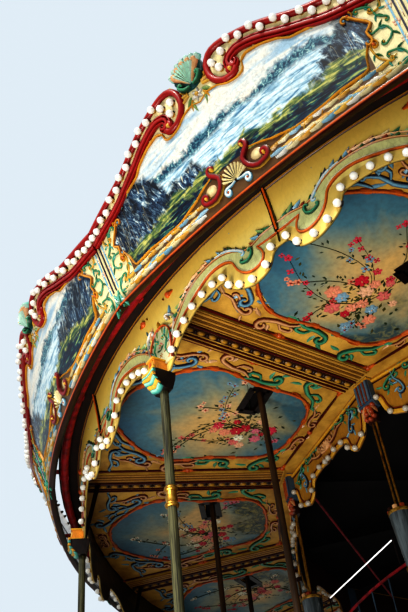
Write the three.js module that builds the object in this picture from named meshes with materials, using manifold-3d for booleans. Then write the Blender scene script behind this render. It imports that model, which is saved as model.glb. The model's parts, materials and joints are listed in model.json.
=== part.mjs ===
// Fairground carousel, single deck, fourteen bays, as a three.js scene graph.
// Millimetres, +Z up. The origin is on the ground at the turning axis.
// Post 01 stands at -Y, and the bays count clockwise seen from above.
import * as THREE from 'three';
import { mergeVertices } from 'three/addons/utils/BufferGeometryUtils.js';
import Module from 'manifold-3d';

// Layout
const BAYS = 14;
const BAY_ANGLE = (2 * Math.PI) / BAYS;
const RING_SIDES = 4 * BAYS;
const DRUM_SIDES = 2 * BAYS;
const SEAT = 0.3; // gap left between pieces that rest on each other

// Fixed centre
const BASE_RADIUS = 2920;
const BASE_HEIGHT = 150;
const HOUSE_OUTER = 2900;
const HOUSE_WALL = 60;
const GALLERY_RADIUS = 2980;
const GALLERY_UNDERSIDE = 2650;
const GALLERY_THICKNESS = 40;
const HANDRAIL_RADIUS = 2940;
const HANDRAIL_TOP = 3650;
const HANDRAIL_SIZE = 46;
const FOOT_RAIL_SIZE = 30;
const UPRIGHT_SIZE = 26;
const MAST_RADIUS = 110;
const MAST_TOP = 5400;
const MAST_FOOT_RADIUS = 300;
const MAST_FOOT_HEIGHT = 40;
const THRUST_RADIUS = 240;
const THRUST_HEIGHT = 150;

// Platform
const DECK_INNER = 3000;
const DECK_OUTER = 5050;
const DECK_TOP = 420;
const DECK_BOARD = 40;
const DECK_EDGE_DEPTH = 120;
const DECK_EDGE_WIDTH = 40;
const SKIRT_THICKNESS = 24;
const SKIRT_BOTTOM = 140;
const SKIRT_TOP = 425;

// Posts and ride poles
const POST_CIRCLE = 4900;
const POST_RADIUS = 27;
const POST_SIDES = 8;
const POST_FOOT_RADIUS = 62;
const POST_FOOT_HEIGHT = 16;
const COLLAR_BOTTOM = 3520;
const COLLAR_TOP = 3630;
const COLLAR_RADIUS = 40;
const CAPITAL_BOTTOM = 4267;
const CAPITAL_FLARE = 4330;
const CAPITAL_SEAT = 4400; // height of the valance edge that it carries
const CAPITAL_TOP = 4560;
const CAPITAL_WIDTH = 130;
const CAPITAL_BACK = 60;
const CAPITAL_REACH = 100;
const INNER_POST_CIRCLE = 3116;
const LAMP_BOTTOM = 3450;
const LAMP_TOP = 3850;
const LAMP_RADIUS = 82;
const LAMP_FOOT_RADIUS = 58;
const POLE_CIRCLE = 3770;
const POLE_RADIUS = 25;
const POLE_SIDES = 8;
const POLE_PLACE = 0.28; // share of the bay, from its first post
const POLE_RAIL_WIDTH = 60;
const POLE_RAIL_HEIGHT = 40;
const SLOT_PLACE = 0.316;
const SLOT_CIRCLE = 3775;
const SLOT_LENGTH = 270;
const SLOT_WIDTH = 110;

// Ceiling and the turning roof
const CEILING_UNDERSIDE = 4940;
const CEILING_BOARD = 18;
const CEILING_OUTER = 4905;
const RIB_WIDTH = 290;
const RIB_DEPTH = 25;
const ROOF_DECK_RADIUS = 4912;
const ROOF_DECK_BOARD = 32;
const SWEEP_WIDTH = 80;
const SWEEP_DEPTH = 90;
const SWEEP_INNER = 270;
const SWEEP_OUTER = 2950;
const KING_TUBE_INNER = 160;
const KING_TUBE_OUTER = 200;
const KING_TUBE_TOP = 7800;

// Cornice and valances
const SHEET = 16;
const VALANCE_RADIUS = 4890;
const VALANCE_TOP = 4745;
const CORNICE_TOP = 5030;
const CORNICE_TOP_RADIUS = 4942;
const BULB_MARGIN = 30; // the sheet runs this far below the row of bulbs
const INNER_BLOCK_BOTTOM = 4570;
const INNER_BLOCK_WIDTH = 150;
const INNER_BLOCK_DEPTH = 70;

// Rim and rounding boards
const RIM_INNER = 4800;
const RIM_OUTER = 5110;
const RIM_PLATE = 20;
const RIM_LIP = 20;
const RIM_TUBE_RADIUS = 5060;
const RIM_TUBE_SIZE = 34;
const STRUT_WIDTH = 40;
const STRUT_CLEARANCE = 1.1; // the boards' flat facets dip this far inside their circle
const BOARD_FOOT_RADIUS = 5172;
const BOARD_FOOT_HEIGHT = 4860;
const BOARD_LEAN = 0.3741; // run outward for each unit of rise
const BOARD_THICKNESS = 24;
const BOARD_MIDDLE_BOTTOM = 4805;
const BOARD_JOINT_GAP = 0.001; // share of a bay left open at each end of a board
const SHELL_MIDDLE = 5695;
const SHELL_WIDTH = 220;
const SHELL_HEIGHT = 240;
const SHELL_DEPTH = 90;
const SHELL_SIDES = 10;

// Roof cone and finial
const ROOF_SHEET = 15;
const ROOF_RADIUS = 5095;
const ROOF_UPSTAND_TOP = 5450;
const ROOF_UPSTAND_WALL = 20;
const ROOF_CURVE = [[3600, 6000], [2100, 6650], [1000, 7250], [260, 7800]];
const FINIAL_HEIGHT = 620;

// Edge of the outer valance: share of a bay from its middle, and height of the bulbs
const OUTER_WAVE = [[0, 4630], [0.05, 4504], [0.1, 4478], [0.17, 4555], [0.205, 4680],
  [0.3, 4680], [0.4, 4590], [0.475, 4430], [0.5, 4430]];
// Edge of the inner valance, the same way
const INNER_WAVE = [[0, 4690], [0.21, 4672], [0.228, 4570], [0.29, 4535], [0.36, 4560],
  [0.4, 4580], [0.435, 4746], [0.5, 4746]];
// Top edge of a rounding board, the same way
const BOARD_TOP = [[0, 5600], [0.045, 5600], [0.06, 5735], [0.09, 5743], [0.2, 5670],
  [0.25, 5616], [0.33, 5540], [0.5, 5464]];

const manifold = await Module();
manifold.setup();

// A closed geometry as a solid that can be joined and cut
function toSolid(geometry) {
  const bare = geometry.clone();
  bare.deleteAttribute('normal');
  bare.deleteAttribute('uv');
  const merged = mergeVertices(bare, 1e-3);
  const mesh = new manifold.Mesh({
    numProp: 3,
    vertProperties: new Float32Array(merged.attributes.position.array),
    triVerts: new Uint32Array(merged.index.array),
  });
  return new manifold.Manifold(mesh);
}

function toGeometry(solid) {
  const mesh = solid.getMesh();
  const geometry = new THREE.BufferGeometry();
  geometry.setAttribute('position', new THREE.BufferAttribute(mesh.vertProperties, 3));
  geometry.setIndex(new THREE.BufferAttribute(mesh.triVerts, 1));
  return geometry;
}

function join(geometries) {
  return toGeometry(geometries.map(toSolid).reduce((all, next) => all.add(next)));
}

function cut(geometry, tools) {
  return toGeometry(tools.map(toSolid).reduce((rest, tool) => rest.subtract(tool), toSolid(geometry)));
}

// A closed loop of [radius, height] points, counted anticlockwise, turned about Z
function ring(profile, sides = RING_SIDES) {
  const points = [...profile, profile[0]].map(([radius, height]) => new THREE.Vector2(radius, height));
  return new THREE.LatheGeometry(points, sides).rotateX(Math.PI / 2);
}

// A solid turned about Z from a profile that starts and ends on the axis, from the bottom up
function turned(profile, sides) {
  const bottom = profile[0][1];
  const top = profile[profile.length - 1][1];
  const points = [[0, bottom], ...profile, [0, top]];
  return new THREE.LatheGeometry(points.map(([r, h]) => new THREE.Vector2(r, h)), sides).rotateX(Math.PI / 2);
}

// A ring of rectangular section
function band(inner, outer, bottom, top, sides = RING_SIDES) {
  return ring([[inner, bottom], [outer, bottom], [outer, top], [inner, top]], sides);
}

// A box that faces -Y: its tangential width, its radii and its heights
function block(width, inner, outer, bottom, top) {
  const box = new THREE.BoxGeometry(width, outer - inner, top - bottom);
  return box.translate(0, -(inner + outer) / 2, (bottom + top) / 2);
}

// The same geometry turned to a place counted in bays from post 01
function atBay(geometry, place) {
  return geometry.clone().rotateZ(-place * BAY_ANGLE);
}

function everyBay(offset = 0) {
  return Array.from({ length: BAYS }, (_, index) => index + offset);
}

// A point on a circle at a place counted in bays
function pointAt(radius, place, height) {
  const angle = place * BAY_ANGLE;
  return new THREE.Vector3(-radius * Math.sin(angle), -radius * Math.cos(angle), height);
}

// A body through sections of four points each, closed into a ring or capped at both ends
function loft(sections, closed) {
  const corners = sections[0].length;
  const positions = sections.flat().flatMap((point) => [point.x, point.y, point.z]);
  const indices = [];
  const steps = closed ? sections.length : sections.length - 1;
  for (let step = 0; step < steps; step += 1) {
    const here = step * corners;
    const there = ((step + 1) % sections.length) * corners;
    for (let corner = 0; corner < corners; corner += 1) {
      const next = (corner + 1) % corners;
      indices.push(here + corner, there + next, there + corner);
      indices.push(here + corner, here + next, there + next);
    }
  }
  if (!closed) {
    const last = (sections.length - 1) * corners;
    for (let corner = 1; corner < corners - 1; corner += 1) {
      indices.push(0, corner + 1, corner);
      indices.push(last, last + corner, last + corner + 1);
    }
  }
  const geometry = new THREE.BufferGeometry();
  geometry.setAttribute('position', new THREE.Float32BufferAttribute(positions, 3));
  geometry.setIndex(indices);
  return geometry;
}

// A wave given for half a bay, mirrored and listed from one end of the bay to the other
function wholeWave(half) {
  const left = half.slice(1).reverse().map(([share, height]) => [-share, height]);
  return [...left, ...half];
}

// Fixed centre

function centreBase() {
  return turned([[BASE_RADIUS, 0], [BASE_RADIUS, BASE_HEIGHT]], DRUM_SIDES);
}

function centreMast() {
  const foot = BASE_HEIGHT + SEAT;
  const thrustTop = roofDeckBottom() - SEAT;
  return turned([
    [MAST_FOOT_RADIUS, foot], [MAST_FOOT_RADIUS, foot + MAST_FOOT_HEIGHT],
    [MAST_RADIUS, foot + MAST_FOOT_HEIGHT], [MAST_RADIUS, thrustTop - THRUST_HEIGHT],
    [THRUST_RADIUS, thrustTop - THRUST_HEIGHT], [THRUST_RADIUS, thrustTop],
    [MAST_RADIUS, thrustTop], [MAST_RADIUS, MAST_TOP],
  ], BAYS);
}

function centreHouse() {
  return band(HOUSE_OUTER - HOUSE_WALL, HOUSE_OUTER, BASE_HEIGHT + SEAT, GALLERY_UNDERSIDE - SEAT, DRUM_SIDES);
}

function galleryFloor() {
  const mastHole = MAST_RADIUS + SEAT;
  return band(mastHole, GALLERY_RADIUS, GALLERY_UNDERSIDE, galleryTop(), DRUM_SIDES);
}

function galleryTop() {
  return GALLERY_UNDERSIDE + GALLERY_THICKNESS;
}

function balustrade() {
  const foot = galleryTop() + SEAT;
  const railBand = (size, bottom) =>
    band(HANDRAIL_RADIUS - size / 2, HANDRAIL_RADIUS + size / 2, bottom, bottom + size, DRUM_SIDES);
  const upright = block(UPRIGHT_SIZE, HANDRAIL_RADIUS - UPRIGHT_SIZE / 2, HANDRAIL_RADIUS + UPRIGHT_SIZE / 2,
    foot + FOOT_RAIL_SIZE / 2, HANDRAIL_TOP - HANDRAIL_SIZE / 2);
  const places = [...everyBay(), ...everyBay(1 / 2)];
  return join([
    railBand(FOOT_RAIL_SIZE, foot),
    railBand(HANDRAIL_SIZE, HANDRAIL_TOP - HANDRAIL_SIZE),
    ...places.map((place) => atBay(upright, place)),
  ]);
}

// Platform

function platformDeck() {
  const under = DECK_TOP - DECK_BOARD;
  const edge = DECK_TOP - DECK_EDGE_DEPTH;
  return ring([
    [DECK_INNER, edge], [DECK_INNER + DECK_EDGE_WIDTH, edge], [DECK_INNER + DECK_EDGE_WIDTH, under],
    [DECK_OUTER - DECK_EDGE_WIDTH, under], [DECK_OUTER - DECK_EDGE_WIDTH, edge], [DECK_OUTER, edge],
    [DECK_OUTER, DECK_TOP], [DECK_INNER, DECK_TOP],
  ]);
}

function platformSkirt() {
  const inner = DECK_OUTER + SEAT;
  return band(inner, inner + SKIRT_THICKNESS, SKIRT_BOTTOM, SKIRT_TOP);
}

// Posts and poles, each standing on the platform

function outerPost() {
  const foot = DECK_TOP + SEAT;
  const neck = (COLLAR_BOTTOM + COLLAR_TOP) / 2;
  const shaft = turned([
    [POST_FOOT_RADIUS, foot], [POST_FOOT_RADIUS, foot + POST_FOOT_HEIGHT],
    [POST_RADIUS, foot + 2 * POST_FOOT_HEIGHT], [POST_RADIUS, COLLAR_BOTTOM],
    [COLLAR_RADIUS, COLLAR_BOTTOM], [POST_RADIUS + 3, neck], [COLLAR_RADIUS, COLLAR_TOP],
    [POST_RADIUS, COLLAR_TOP], [POST_RADIUS, CAPITAL_FLARE],
  ], POST_SIDES).translate(0, -POST_CIRCLE, 0);
  return join([shaft, capital()]);
}

// A corbel on the head of the post: it carries the valance edge, and its block stands before it
function capital() {
  const back = POST_CIRCLE - CAPITAL_BACK;
  const front = POST_CIRCLE + CAPITAL_REACH;
  const face = VALANCE_RADIUS + SHEET / 4;
  const seat = CAPITAL_SEAT - SEAT;
  const outline = new THREE.Shape([
    [POST_CIRCLE - POST_RADIUS, CAPITAL_BOTTOM], [POST_CIRCLE + POST_RADIUS, CAPITAL_BOTTOM],
    [front, CAPITAL_FLARE], [front, CAPITAL_TOP], [face, CAPITAL_TOP], [face, seat],
    [back, seat], [back, CAPITAL_FLARE],
  ].map(([radius, height]) => new THREE.Vector2(radius, height)));
  const body = new THREE.ExtrudeGeometry(outline, { depth: CAPITAL_WIDTH, bevelEnabled: false });
  return body.translate(0, 0, -CAPITAL_WIDTH / 2).rotateX(Math.PI / 2).rotateZ(-Math.PI / 2);
}

function innerPost() {
  const foot = DECK_TOP + SEAT;
  return turned([
    [POST_FOOT_RADIUS, foot], [POST_FOOT_RADIUS, foot + POST_FOOT_HEIGHT],
    [POST_RADIUS, foot + 2 * POST_FOOT_HEIGHT], [POST_RADIUS, LAMP_BOTTOM],
    [LAMP_FOOT_RADIUS, LAMP_BOTTOM], [LAMP_RADIUS, LAMP_TOP], [POST_RADIUS, LAMP_TOP + POST_RADIUS],
    [POST_RADIUS, INNER_BLOCK_BOTTOM - SEAT],
  ], POST_SIDES).translate(0, -INNER_POST_CIRCLE, 0);
}

// Fourteen poles that hang through the ceiling slots from one rail over the roof deck
function ridePoles() {
  const railBottom = roofDeckBottom() + ROOF_DECK_BOARD + SEAT;
  const pole = turned([
    [POLE_RADIUS, DECK_TOP + SEAT], [POLE_RADIUS, railBottom + POLE_RAIL_HEIGHT / 2],
  ], POLE_SIDES).translate(0, -POLE_CIRCLE, 0);
  const rail = band(POLE_CIRCLE - POLE_RAIL_WIDTH / 2, POLE_CIRCLE + POLE_RAIL_WIDTH / 2,
    railBottom, railBottom + POLE_RAIL_HEIGHT);
  return join([rail, ...everyBay(POLE_PLACE).map((place) => atBay(pole, place))]);
}

// Ceiling and roof deck

function slotTools() {
  const slot = block(SLOT_LENGTH, SLOT_CIRCLE - SLOT_WIDTH / 2, SLOT_CIRCLE + SLOT_WIDTH / 2,
    CEILING_UNDERSIDE - RIB_DEPTH, roofDeckBottom() + 2 * ROOF_DECK_BOARD);
  return everyBay(SLOT_PLACE).map((place) => atBay(slot, place));
}

function ceiling() {
  const wheel = new THREE.Shape(Array.from({ length: RING_SIDES }, (_, side) => {
    const point = pointAt(CEILING_OUTER, (side * BAYS) / RING_SIDES, 0);
    return new THREE.Vector2(point.x, point.y);
  }));
  wheel.holes.push(new THREE.Path(everyBay().reverse().map((place) => {
    const point = pointAt(INNER_POST_CIRCLE, place, 0);
    return new THREE.Vector2(point.x, point.y);
  })));
  const board = new THREE.ExtrudeGeometry(wheel, { depth: CEILING_BOARD, bevelEnabled: false });
  board.translate(0, 0, CEILING_UNDERSIDE);
  const rib = block(RIB_WIDTH, INNER_POST_CIRCLE + INNER_BLOCK_DEPTH, CEILING_OUTER - SHEET,
    CEILING_UNDERSIDE - RIB_DEPTH, CEILING_UNDERSIDE + CEILING_BOARD / 2);
  return cut(join([board, ...everyBay().map((place) => atBay(rib, place))]), slotTools());
}

function roofDeckBottom() {
  return CEILING_UNDERSIDE + CEILING_BOARD + SEAT;
}

// A boarded deck with its king tube, and the sweeps that show over the open centre
function roofDeck() {
  const bottom = roofDeckBottom();
  const top = bottom + ROOF_DECK_BOARD;
  const deck = ring([
    [KING_TUBE_INNER, bottom], [ROOF_DECK_RADIUS, bottom], [ROOF_DECK_RADIUS, top],
    [KING_TUBE_OUTER, top], [KING_TUBE_OUTER, KING_TUBE_TOP], [KING_TUBE_INNER, KING_TUBE_TOP],
  ]);
  const sweep = block(SWEEP_WIDTH, SWEEP_INNER, SWEEP_OUTER, bottom - SWEEP_DEPTH, bottom + ROOF_DECK_BOARD / 2);
  return cut(join([deck, ...everyBay().map((place) => atBay(sweep, place))]), slotTools());
}

// Cornice and valances

function outerValance() {
  const wave = wholeWave(OUTER_WAVE).slice(1);
  const sections = everyBay(1 / 2).flatMap((middle) => wave.map(([share, height]) => {
    const place = middle + share;
    const bottom = height - BULB_MARGIN;
    return [
      pointAt(VALANCE_RADIUS, place, bottom), pointAt(VALANCE_RADIUS, place, VALANCE_TOP),
      pointAt(VALANCE_RADIUS - SHEET, place, VALANCE_TOP), pointAt(VALANCE_RADIUS - SHEET, place, bottom),
    ];
  }));
  return loft(sections, true);
}

function cornice() {
  const bottom = VALANCE_TOP + SEAT;
  const top = CORNICE_TOP;
  return ring([
    [VALANCE_RADIUS - SHEET, bottom], [VALANCE_RADIUS, bottom],
    [CORNICE_TOP_RADIUS, top], [CORNICE_TOP_RADIUS - SHEET, top],
  ]);
}

// Straight scalloped boards between the inner posts, with a block at each corner
function innerValance() {
  const wave = wholeWave(INNER_WAVE).slice(1);
  const top = CEILING_UNDERSIDE - SEAT;
  const chord = (radius, middle, share, height) => {
    const from = pointAt(radius, middle - 1 / 2, height);
    const to = pointAt(radius, middle + 1 / 2, height);
    return from.lerp(to, share + 1 / 2);
  };
  const sections = everyBay(1 / 2).flatMap((middle) => wave.map(([share, height]) => {
    const bottom = height - BULB_MARGIN;
    const inner = INNER_POST_CIRCLE - SHEET;
    return [
      chord(INNER_POST_CIRCLE, middle, share, bottom), chord(INNER_POST_CIRCLE, middle, share, top),
      chord(inner, middle, share, top), chord(inner, middle, share, bottom),
    ];
  }));
  const corner = block(INNER_BLOCK_WIDTH, INNER_POST_CIRCLE - INNER_BLOCK_DEPTH / 2,
    INNER_POST_CIRCLE + INNER_BLOCK_DEPTH / 2, INNER_BLOCK_BOTTOM, top);
  return join([loft(sections, true), ...everyBay().map((place) => atBay(corner, place))]);
}

// Rim, boards and roof cone

function rim() {
  const bottom = CORNICE_TOP + SEAT;
  const top = bottom + RIM_PLATE;
  const roofTop = roofDeckBottom() + ROOF_DECK_BOARD + SEAT;
  const plate = ring([
    [RIM_INNER, roofTop], [RIM_INNER + RIM_LIP, roofTop], [RIM_INNER + RIM_LIP, bottom],
    [RIM_OUTER, bottom], [RIM_OUTER, top], [RIM_INNER, top],
  ]);
  const tube = band(RIM_TUBE_RADIUS - RIM_TUBE_SIZE / 2, RIM_TUBE_RADIUS + RIM_TUBE_SIZE / 2,
    bottom - RIM_TUBE_SIZE, bottom + RIM_PLATE / 2);
  const strutEnd = boardRadius(bottom) - BOARD_THICKNESS - STRUT_CLEARANCE;
  const strut = block(STRUT_WIDTH, RIM_TUBE_RADIUS, strutEnd, bottom, top);
  const places = [...everyBay(), ...everyBay(1 / 2)];
  return join([plate, tube, ...places.map((place) => atBay(strut, place))]);
}

function boardRadius(height) {
  return BOARD_FOOT_RADIUS + BOARD_LEAN * (height - BOARD_FOOT_HEIGHT);
}

// One painted board of the crown, leaning out, with the shell that tops its middle
function roundingBoard() {
  const rise = BOARD_FOOT_HEIGHT - BOARD_MIDDLE_BOTTOM;
  const sections = wholeWave(BOARD_TOP).map(([share, top]) => {
    const place = share * (1 - 2 * BOARD_JOINT_GAP);
    const bottom = BOARD_MIDDLE_BOTTOM + rise * (2 * share) ** 2;
    return [
      pointAt(boardRadius(bottom), place, bottom), pointAt(boardRadius(top), place, top),
      pointAt(boardRadius(top) - BOARD_THICKNESS, place, top),
      pointAt(boardRadius(bottom) - BOARD_THICKNESS, place, bottom),
    ];
  });
  const shell = new THREE.SphereGeometry(1 / 2, SHELL_SIDES, SHELL_SIDES / 2).rotateX(Math.PI / 2);
  shell.scale(SHELL_WIDTH, SHELL_DEPTH, SHELL_HEIGHT);
  shell.rotateX(Math.atan(BOARD_LEAN));
  shell.translate(0, -boardRadius(SHELL_MIDDLE) + BOARD_THICKNESS / 2, SHELL_MIDDLE);
  return join([loft(sections, false), shell]);
}

// A dark upstand behind the boards and the sheeted cone that rises from it
function roofCone() {
  const foot = CORNICE_TOP + SEAT + RIM_PLATE + SEAT;
  const inner = ROOF_RADIUS - ROOF_UPSTAND_WALL;
  const under = ROOF_CURVE.map(([radius, height]) => [radius, height - ROOF_SHEET]).reverse();
  return ring([
    [inner, foot], [ROOF_RADIUS, foot], [ROOF_RADIUS, ROOF_UPSTAND_TOP], ...ROOF_CURVE,
    ...under, [inner, ROOF_UPSTAND_TOP - ROOF_SHEET],
  ], DRUM_SIDES);
}

function finial() {
  const foot = KING_TUBE_TOP + SEAT;
  const shape = [[0.5, 0], [0.5, 0.05], [0.25, 0.1], [0.14, 0.2], [0.3, 0.34], [0.3, 0.46],
    [0.12, 0.58], [0.06, 0.7], [0.03, 1]];
  return turned(shape.map(([radius, rise]) => [radius * FINIAL_HEIGHT, foot + rise * FINIAL_HEIGHT]), BAYS);
}

// Finishes

function paint(color, roughness = 0.5, metalness = 0) {
  return new THREE.MeshStandardMaterial({ color, roughness, metalness });
}

const MUSTARD = paint(0xc8963c);
const CREAM = paint(0xe6d9b0);
const DARK_RED = paint(0x5a1414);
const DARK_BROWN = paint(0x2a1a14, 0.7);
const OLIVE = paint(0x6c6a4a, 0.55);
const BRASS = paint(0xa87a34, 0.35, 0.9);
const TIMBER = paint(0x7a5634, 0.7);
const ROOF_CREAM = paint(0xd9c79a, 0.6);
const PALE_BLUE = paint(0x8fb0c4);
const STEEL = paint(0x4c4e50, 0.5, 0.6);
const GOLD = paint(0xd0a040, 0.3, 0.8);

// Assembly

const carousel = new THREE.Group();
const turning = new THREE.Group();
carousel.add(turning);

function addPiece(group, name, geometry, material, place = 0) {
  const mesh = new THREE.Mesh(geometry, material);
  mesh.name = name;
  mesh.rotation.z = -place * BAY_ANGLE;
  group.add(mesh);
}

function addEveryBay(name, geometry, material, offset = 0) {
  everyBay(offset).forEach((place, index) => {
    addPiece(turning, `${name}_${String(index + 1).padStart(2, '0')}`, geometry, material, place);
  });
}

addPiece(carousel, 'centre_base', centreBase(), STEEL);
addPiece(carousel, 'centre_mast', centreMast(), STEEL);
addPiece(carousel, 'centre_house', centreHouse(), DARK_RED);
addPiece(carousel, 'gallery_floor', galleryFloor(), TIMBER);
addPiece(carousel, 'balustrade', balustrade(), PALE_BLUE);
addPiece(turning, 'platform_deck', platformDeck(), TIMBER);
addPiece(turning, 'platform_skirt', platformSkirt(), MUSTARD);
addPiece(turning, 'ride_poles', ridePoles(), OLIVE);
addPiece(turning, 'ceiling', ceiling(), MUSTARD);
addPiece(turning, 'inner_valance', innerValance(), MUSTARD);
addPiece(turning, 'outer_valance', outerValance(), CREAM);
addPiece(turning, 'cornice', cornice(), MUSTARD);
addPiece(turning, 'roof_deck', roofDeck(), DARK_BROWN);
addPiece(turning, 'rim', rim(), DARK_BROWN);
addPiece(turning, 'roof_cone', roofCone(), ROOF_CREAM);
addPiece(turning, 'finial', finial(), GOLD);
addEveryBay('outer_post', outerPost(), OLIVE);
addEveryBay('inner_post', innerPost(), BRASS);
addEveryBay('rounding_board', roundingBoard(), CREAM, 1 / 2);

export default carousel;
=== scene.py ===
"""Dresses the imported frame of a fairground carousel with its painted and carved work.

Lengths are in metres. Each bay is drawn flat, as across, up and out, then laid on its surface and
turned to its place. Bays count clockwise seen from above, and post 1 stands at -Y.
"""
import json
import math
import random

import bpy
import numpy as np
from bpy.props import FloatProperty, FloatVectorProperty, PointerProperty
from mathutils import Matrix, Vector

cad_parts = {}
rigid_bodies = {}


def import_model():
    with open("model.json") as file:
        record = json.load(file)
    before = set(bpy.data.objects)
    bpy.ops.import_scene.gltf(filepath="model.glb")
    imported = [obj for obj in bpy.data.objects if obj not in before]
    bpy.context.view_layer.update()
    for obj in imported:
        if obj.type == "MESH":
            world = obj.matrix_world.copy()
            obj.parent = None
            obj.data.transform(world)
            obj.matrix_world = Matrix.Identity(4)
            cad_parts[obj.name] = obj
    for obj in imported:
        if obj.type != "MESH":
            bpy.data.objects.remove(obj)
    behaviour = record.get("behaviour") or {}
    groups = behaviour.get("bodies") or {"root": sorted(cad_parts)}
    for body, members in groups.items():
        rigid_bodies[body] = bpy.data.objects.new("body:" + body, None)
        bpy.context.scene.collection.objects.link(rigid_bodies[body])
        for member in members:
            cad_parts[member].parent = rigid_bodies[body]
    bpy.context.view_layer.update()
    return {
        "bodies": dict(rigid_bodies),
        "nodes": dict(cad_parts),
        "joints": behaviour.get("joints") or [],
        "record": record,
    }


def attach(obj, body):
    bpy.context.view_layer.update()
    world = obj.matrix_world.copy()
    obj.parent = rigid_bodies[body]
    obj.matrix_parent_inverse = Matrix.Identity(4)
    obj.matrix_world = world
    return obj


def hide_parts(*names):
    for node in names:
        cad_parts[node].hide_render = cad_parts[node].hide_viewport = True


bl_info = {
    "name": "Fairground carousel dressing",
    "version": (1, 0, 0),
    "blender": (4, 5, 0),
    "location": "3D View > Sidebar > Carousel",
    "description": "Adds the painted and carved pieces of a fourteen-bay carousel to its frame",
    "category": "Add Mesh",
}

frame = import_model()

# Layout of the frame
BAYS = 14
BAY_ANGLE = math.tau / BAYS
HALF_BAY = 0.5
CARVED = ["carved_enamel"]
TURNING = "turning_ride"
FIXED = "fixed_centre"
SINK = 0.003  # ornament starts this far inside the surface that it lies on
CLEAR = 0.001
SEAT = 0.0003  # pieces that rest on each other are seated this far apart
ROUND_SIDES = 112  # sides of a ring whose edge shows
PLAIN_SIDES = 56  # sides of a ring that stays hidden

# Rounding boards: a leaning cone
BOARD_FOOT_RADIUS = 5.172
BOARD_FOOT = 4.860
BOARD_LEAN = 0.3741
BOARD_ARC_RADIUS = 5.33
BOARD_SHEET = 0.024
BOARD_WIDTH = BOARD_ARC_RADIUS * BAY_ANGLE

# Valances, cornice and ceiling
VALANCE_RADIUS = 4.890
VALANCE_WIDTH = VALANCE_RADIUS * BAY_ANGLE
VALANCE_SHEET = 0.016
CORNICE_FOOT = 4.745
CORNICE_TOP = 5.030
CORNICE_LEAN = 0.052 / 0.285
CEILING_HEIGHT = 4.940
CORNER_RADIUS = 3.116
CHORD_RADIUS = CORNER_RADIUS * math.cos(BAY_ANGLE / 2)
CHORD_WIDTH = 2 * CORNER_RADIUS * math.sin(BAY_ANGLE / 2)
POST_CIRCLE = 4.900
POLE_CIRCLE = 3.770
POLE_RADIUS = 0.0235
POLE_PLACE = 0.28  # in bays from the post before it
DECK_TOP = 0.420

# The view and the lights
CAMERA_SPOT = (-0.1745, -7.562, 1.5)
CAMERA_TURN = (-0.47395, 0.74924, -0.12468)  # yaw, pitch and roll, in radians
KEY_DIRECTION = (-0.05, -0.85, 0.72)
FILL_SPOT = (-2.6, -6.5, 0.75)
FILL_TARGET = (-1.8, -4.2, 4.9)

# Sections of mouldings: across in half widths, and out in heights
HALF_ROUND = ((-1, 0), (-0.85, 0.55), (-0.45, 0.9), (0, 1), (0.45, 0.9), (0.85, 0.55), (1, 0))
LOW_ROUND = ((-1, 0), (-0.7, 0.8), (0, 1), (0.7, 0.8), (1, 0))
RIDGE = ((-1, 0), (0, 1), (1, 0))
FILLET = ((-1, 0), (-0.8, 1), (0.8, 1), (1, 0))
TRIPLE = ((-1, 0), (-0.9, 0.7), (-0.65, 0.8), (-0.45, 0.35), (-0.25, 0.95), (0, 1), (0.25, 0.95),
          (0.45, 0.35), (0.65, 0.8), (0.9, 0.7), (1, 0))
LEAF = ((-1, 0), (-0.55, 0.85), (0, 0.4), (0.55, 0.85), (1, 0))
SHARP_ANGLE = math.radians(48)


def tone(red, green, blue):
    """A paint given as 0 to 255 steps of screen colour, as linear light."""
    return tuple((step / 255) ** 2.2 for step in (red, green, blue))


CREAM = tone(238, 224, 170)
IVORY = tone(248, 240, 214)
MUSTARD = tone(214, 158, 62)
YELLOW = tone(240, 190, 78)
GOLD = tone(228, 168, 56)
BRONZE = tone(140, 84, 26)
RED = tone(158, 24, 24)
DEEP_RED = tone(70, 8, 12)
ORANGE = tone(226, 104, 30)
TERRACOTTA = tone(160, 66, 34)
PEACH = tone(240, 186, 132)
GREEN = tone(48, 112, 66)
PALE_GREEN = tone(150, 176, 112)
TURQUOISE = tone(84, 178, 164)
MINT = tone(168, 224, 200)
DEEP_TEAL = tone(16, 74, 76)
SKY_BLUE = tone(128, 184, 212)
SLATE = tone(66, 88, 108)
NAVY = tone(18, 26, 58)
BROWN = tone(54, 28, 16)
BLACK = tone(18, 13, 12)
WHITE = tone(244, 242, 232)
PINK = tone(226, 118, 112)


# Drawing tools


class Carving:
    """Points, paint and faces of one piece, in flat design coordinates: across, up and out."""

    def __init__(self):
        self.points = []
        self.paint = []
        self.faces = []
        self.finish = []
        self.current = 0

    def add(self, points, faces, paint):
        start = len(self.points)
        self.points.extend(tuple(point) for point in points)
        self.paint.extend(paint)
        self.faces.extend(tuple(start + corner for corner in face) for face in faces)
        self.finish.extend([self.current] * len(faces))

    def mirror(self, first_point=0, first_face=0):
        """Adds the other half of everything drawn from there on."""
        moved = len(self.points) - first_point
        points = [(-across, up, out) for across, up, out in self.points[first_point:]]
        faces = [tuple(corner + moved for corner in reversed(face)) for face in self.faces[first_face:]]
        self.finish.extend(self.finish[first_face:])
        self.paint.extend(self.paint[first_point:])
        self.points.extend(points)
        self.faces.extend(faces)

    def lift(self, rise, first_point=0):
        """Moves everything drawn from there on outward."""
        drawn = self.points[first_point:]
        self.points[first_point:] = [(across, up, out + rise) for across, up, out in drawn]

    def swing(self, angle, first_point):
        """Stands everything drawn from there on at its angle about the axis."""
        cosine, sine = math.cos(angle), math.sin(angle)
        self.points[first_point:] = [(across * cosine + out * sine, across * sine - out * cosine, up)
                                     for across, up, out in self.points[first_point:]]


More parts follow.
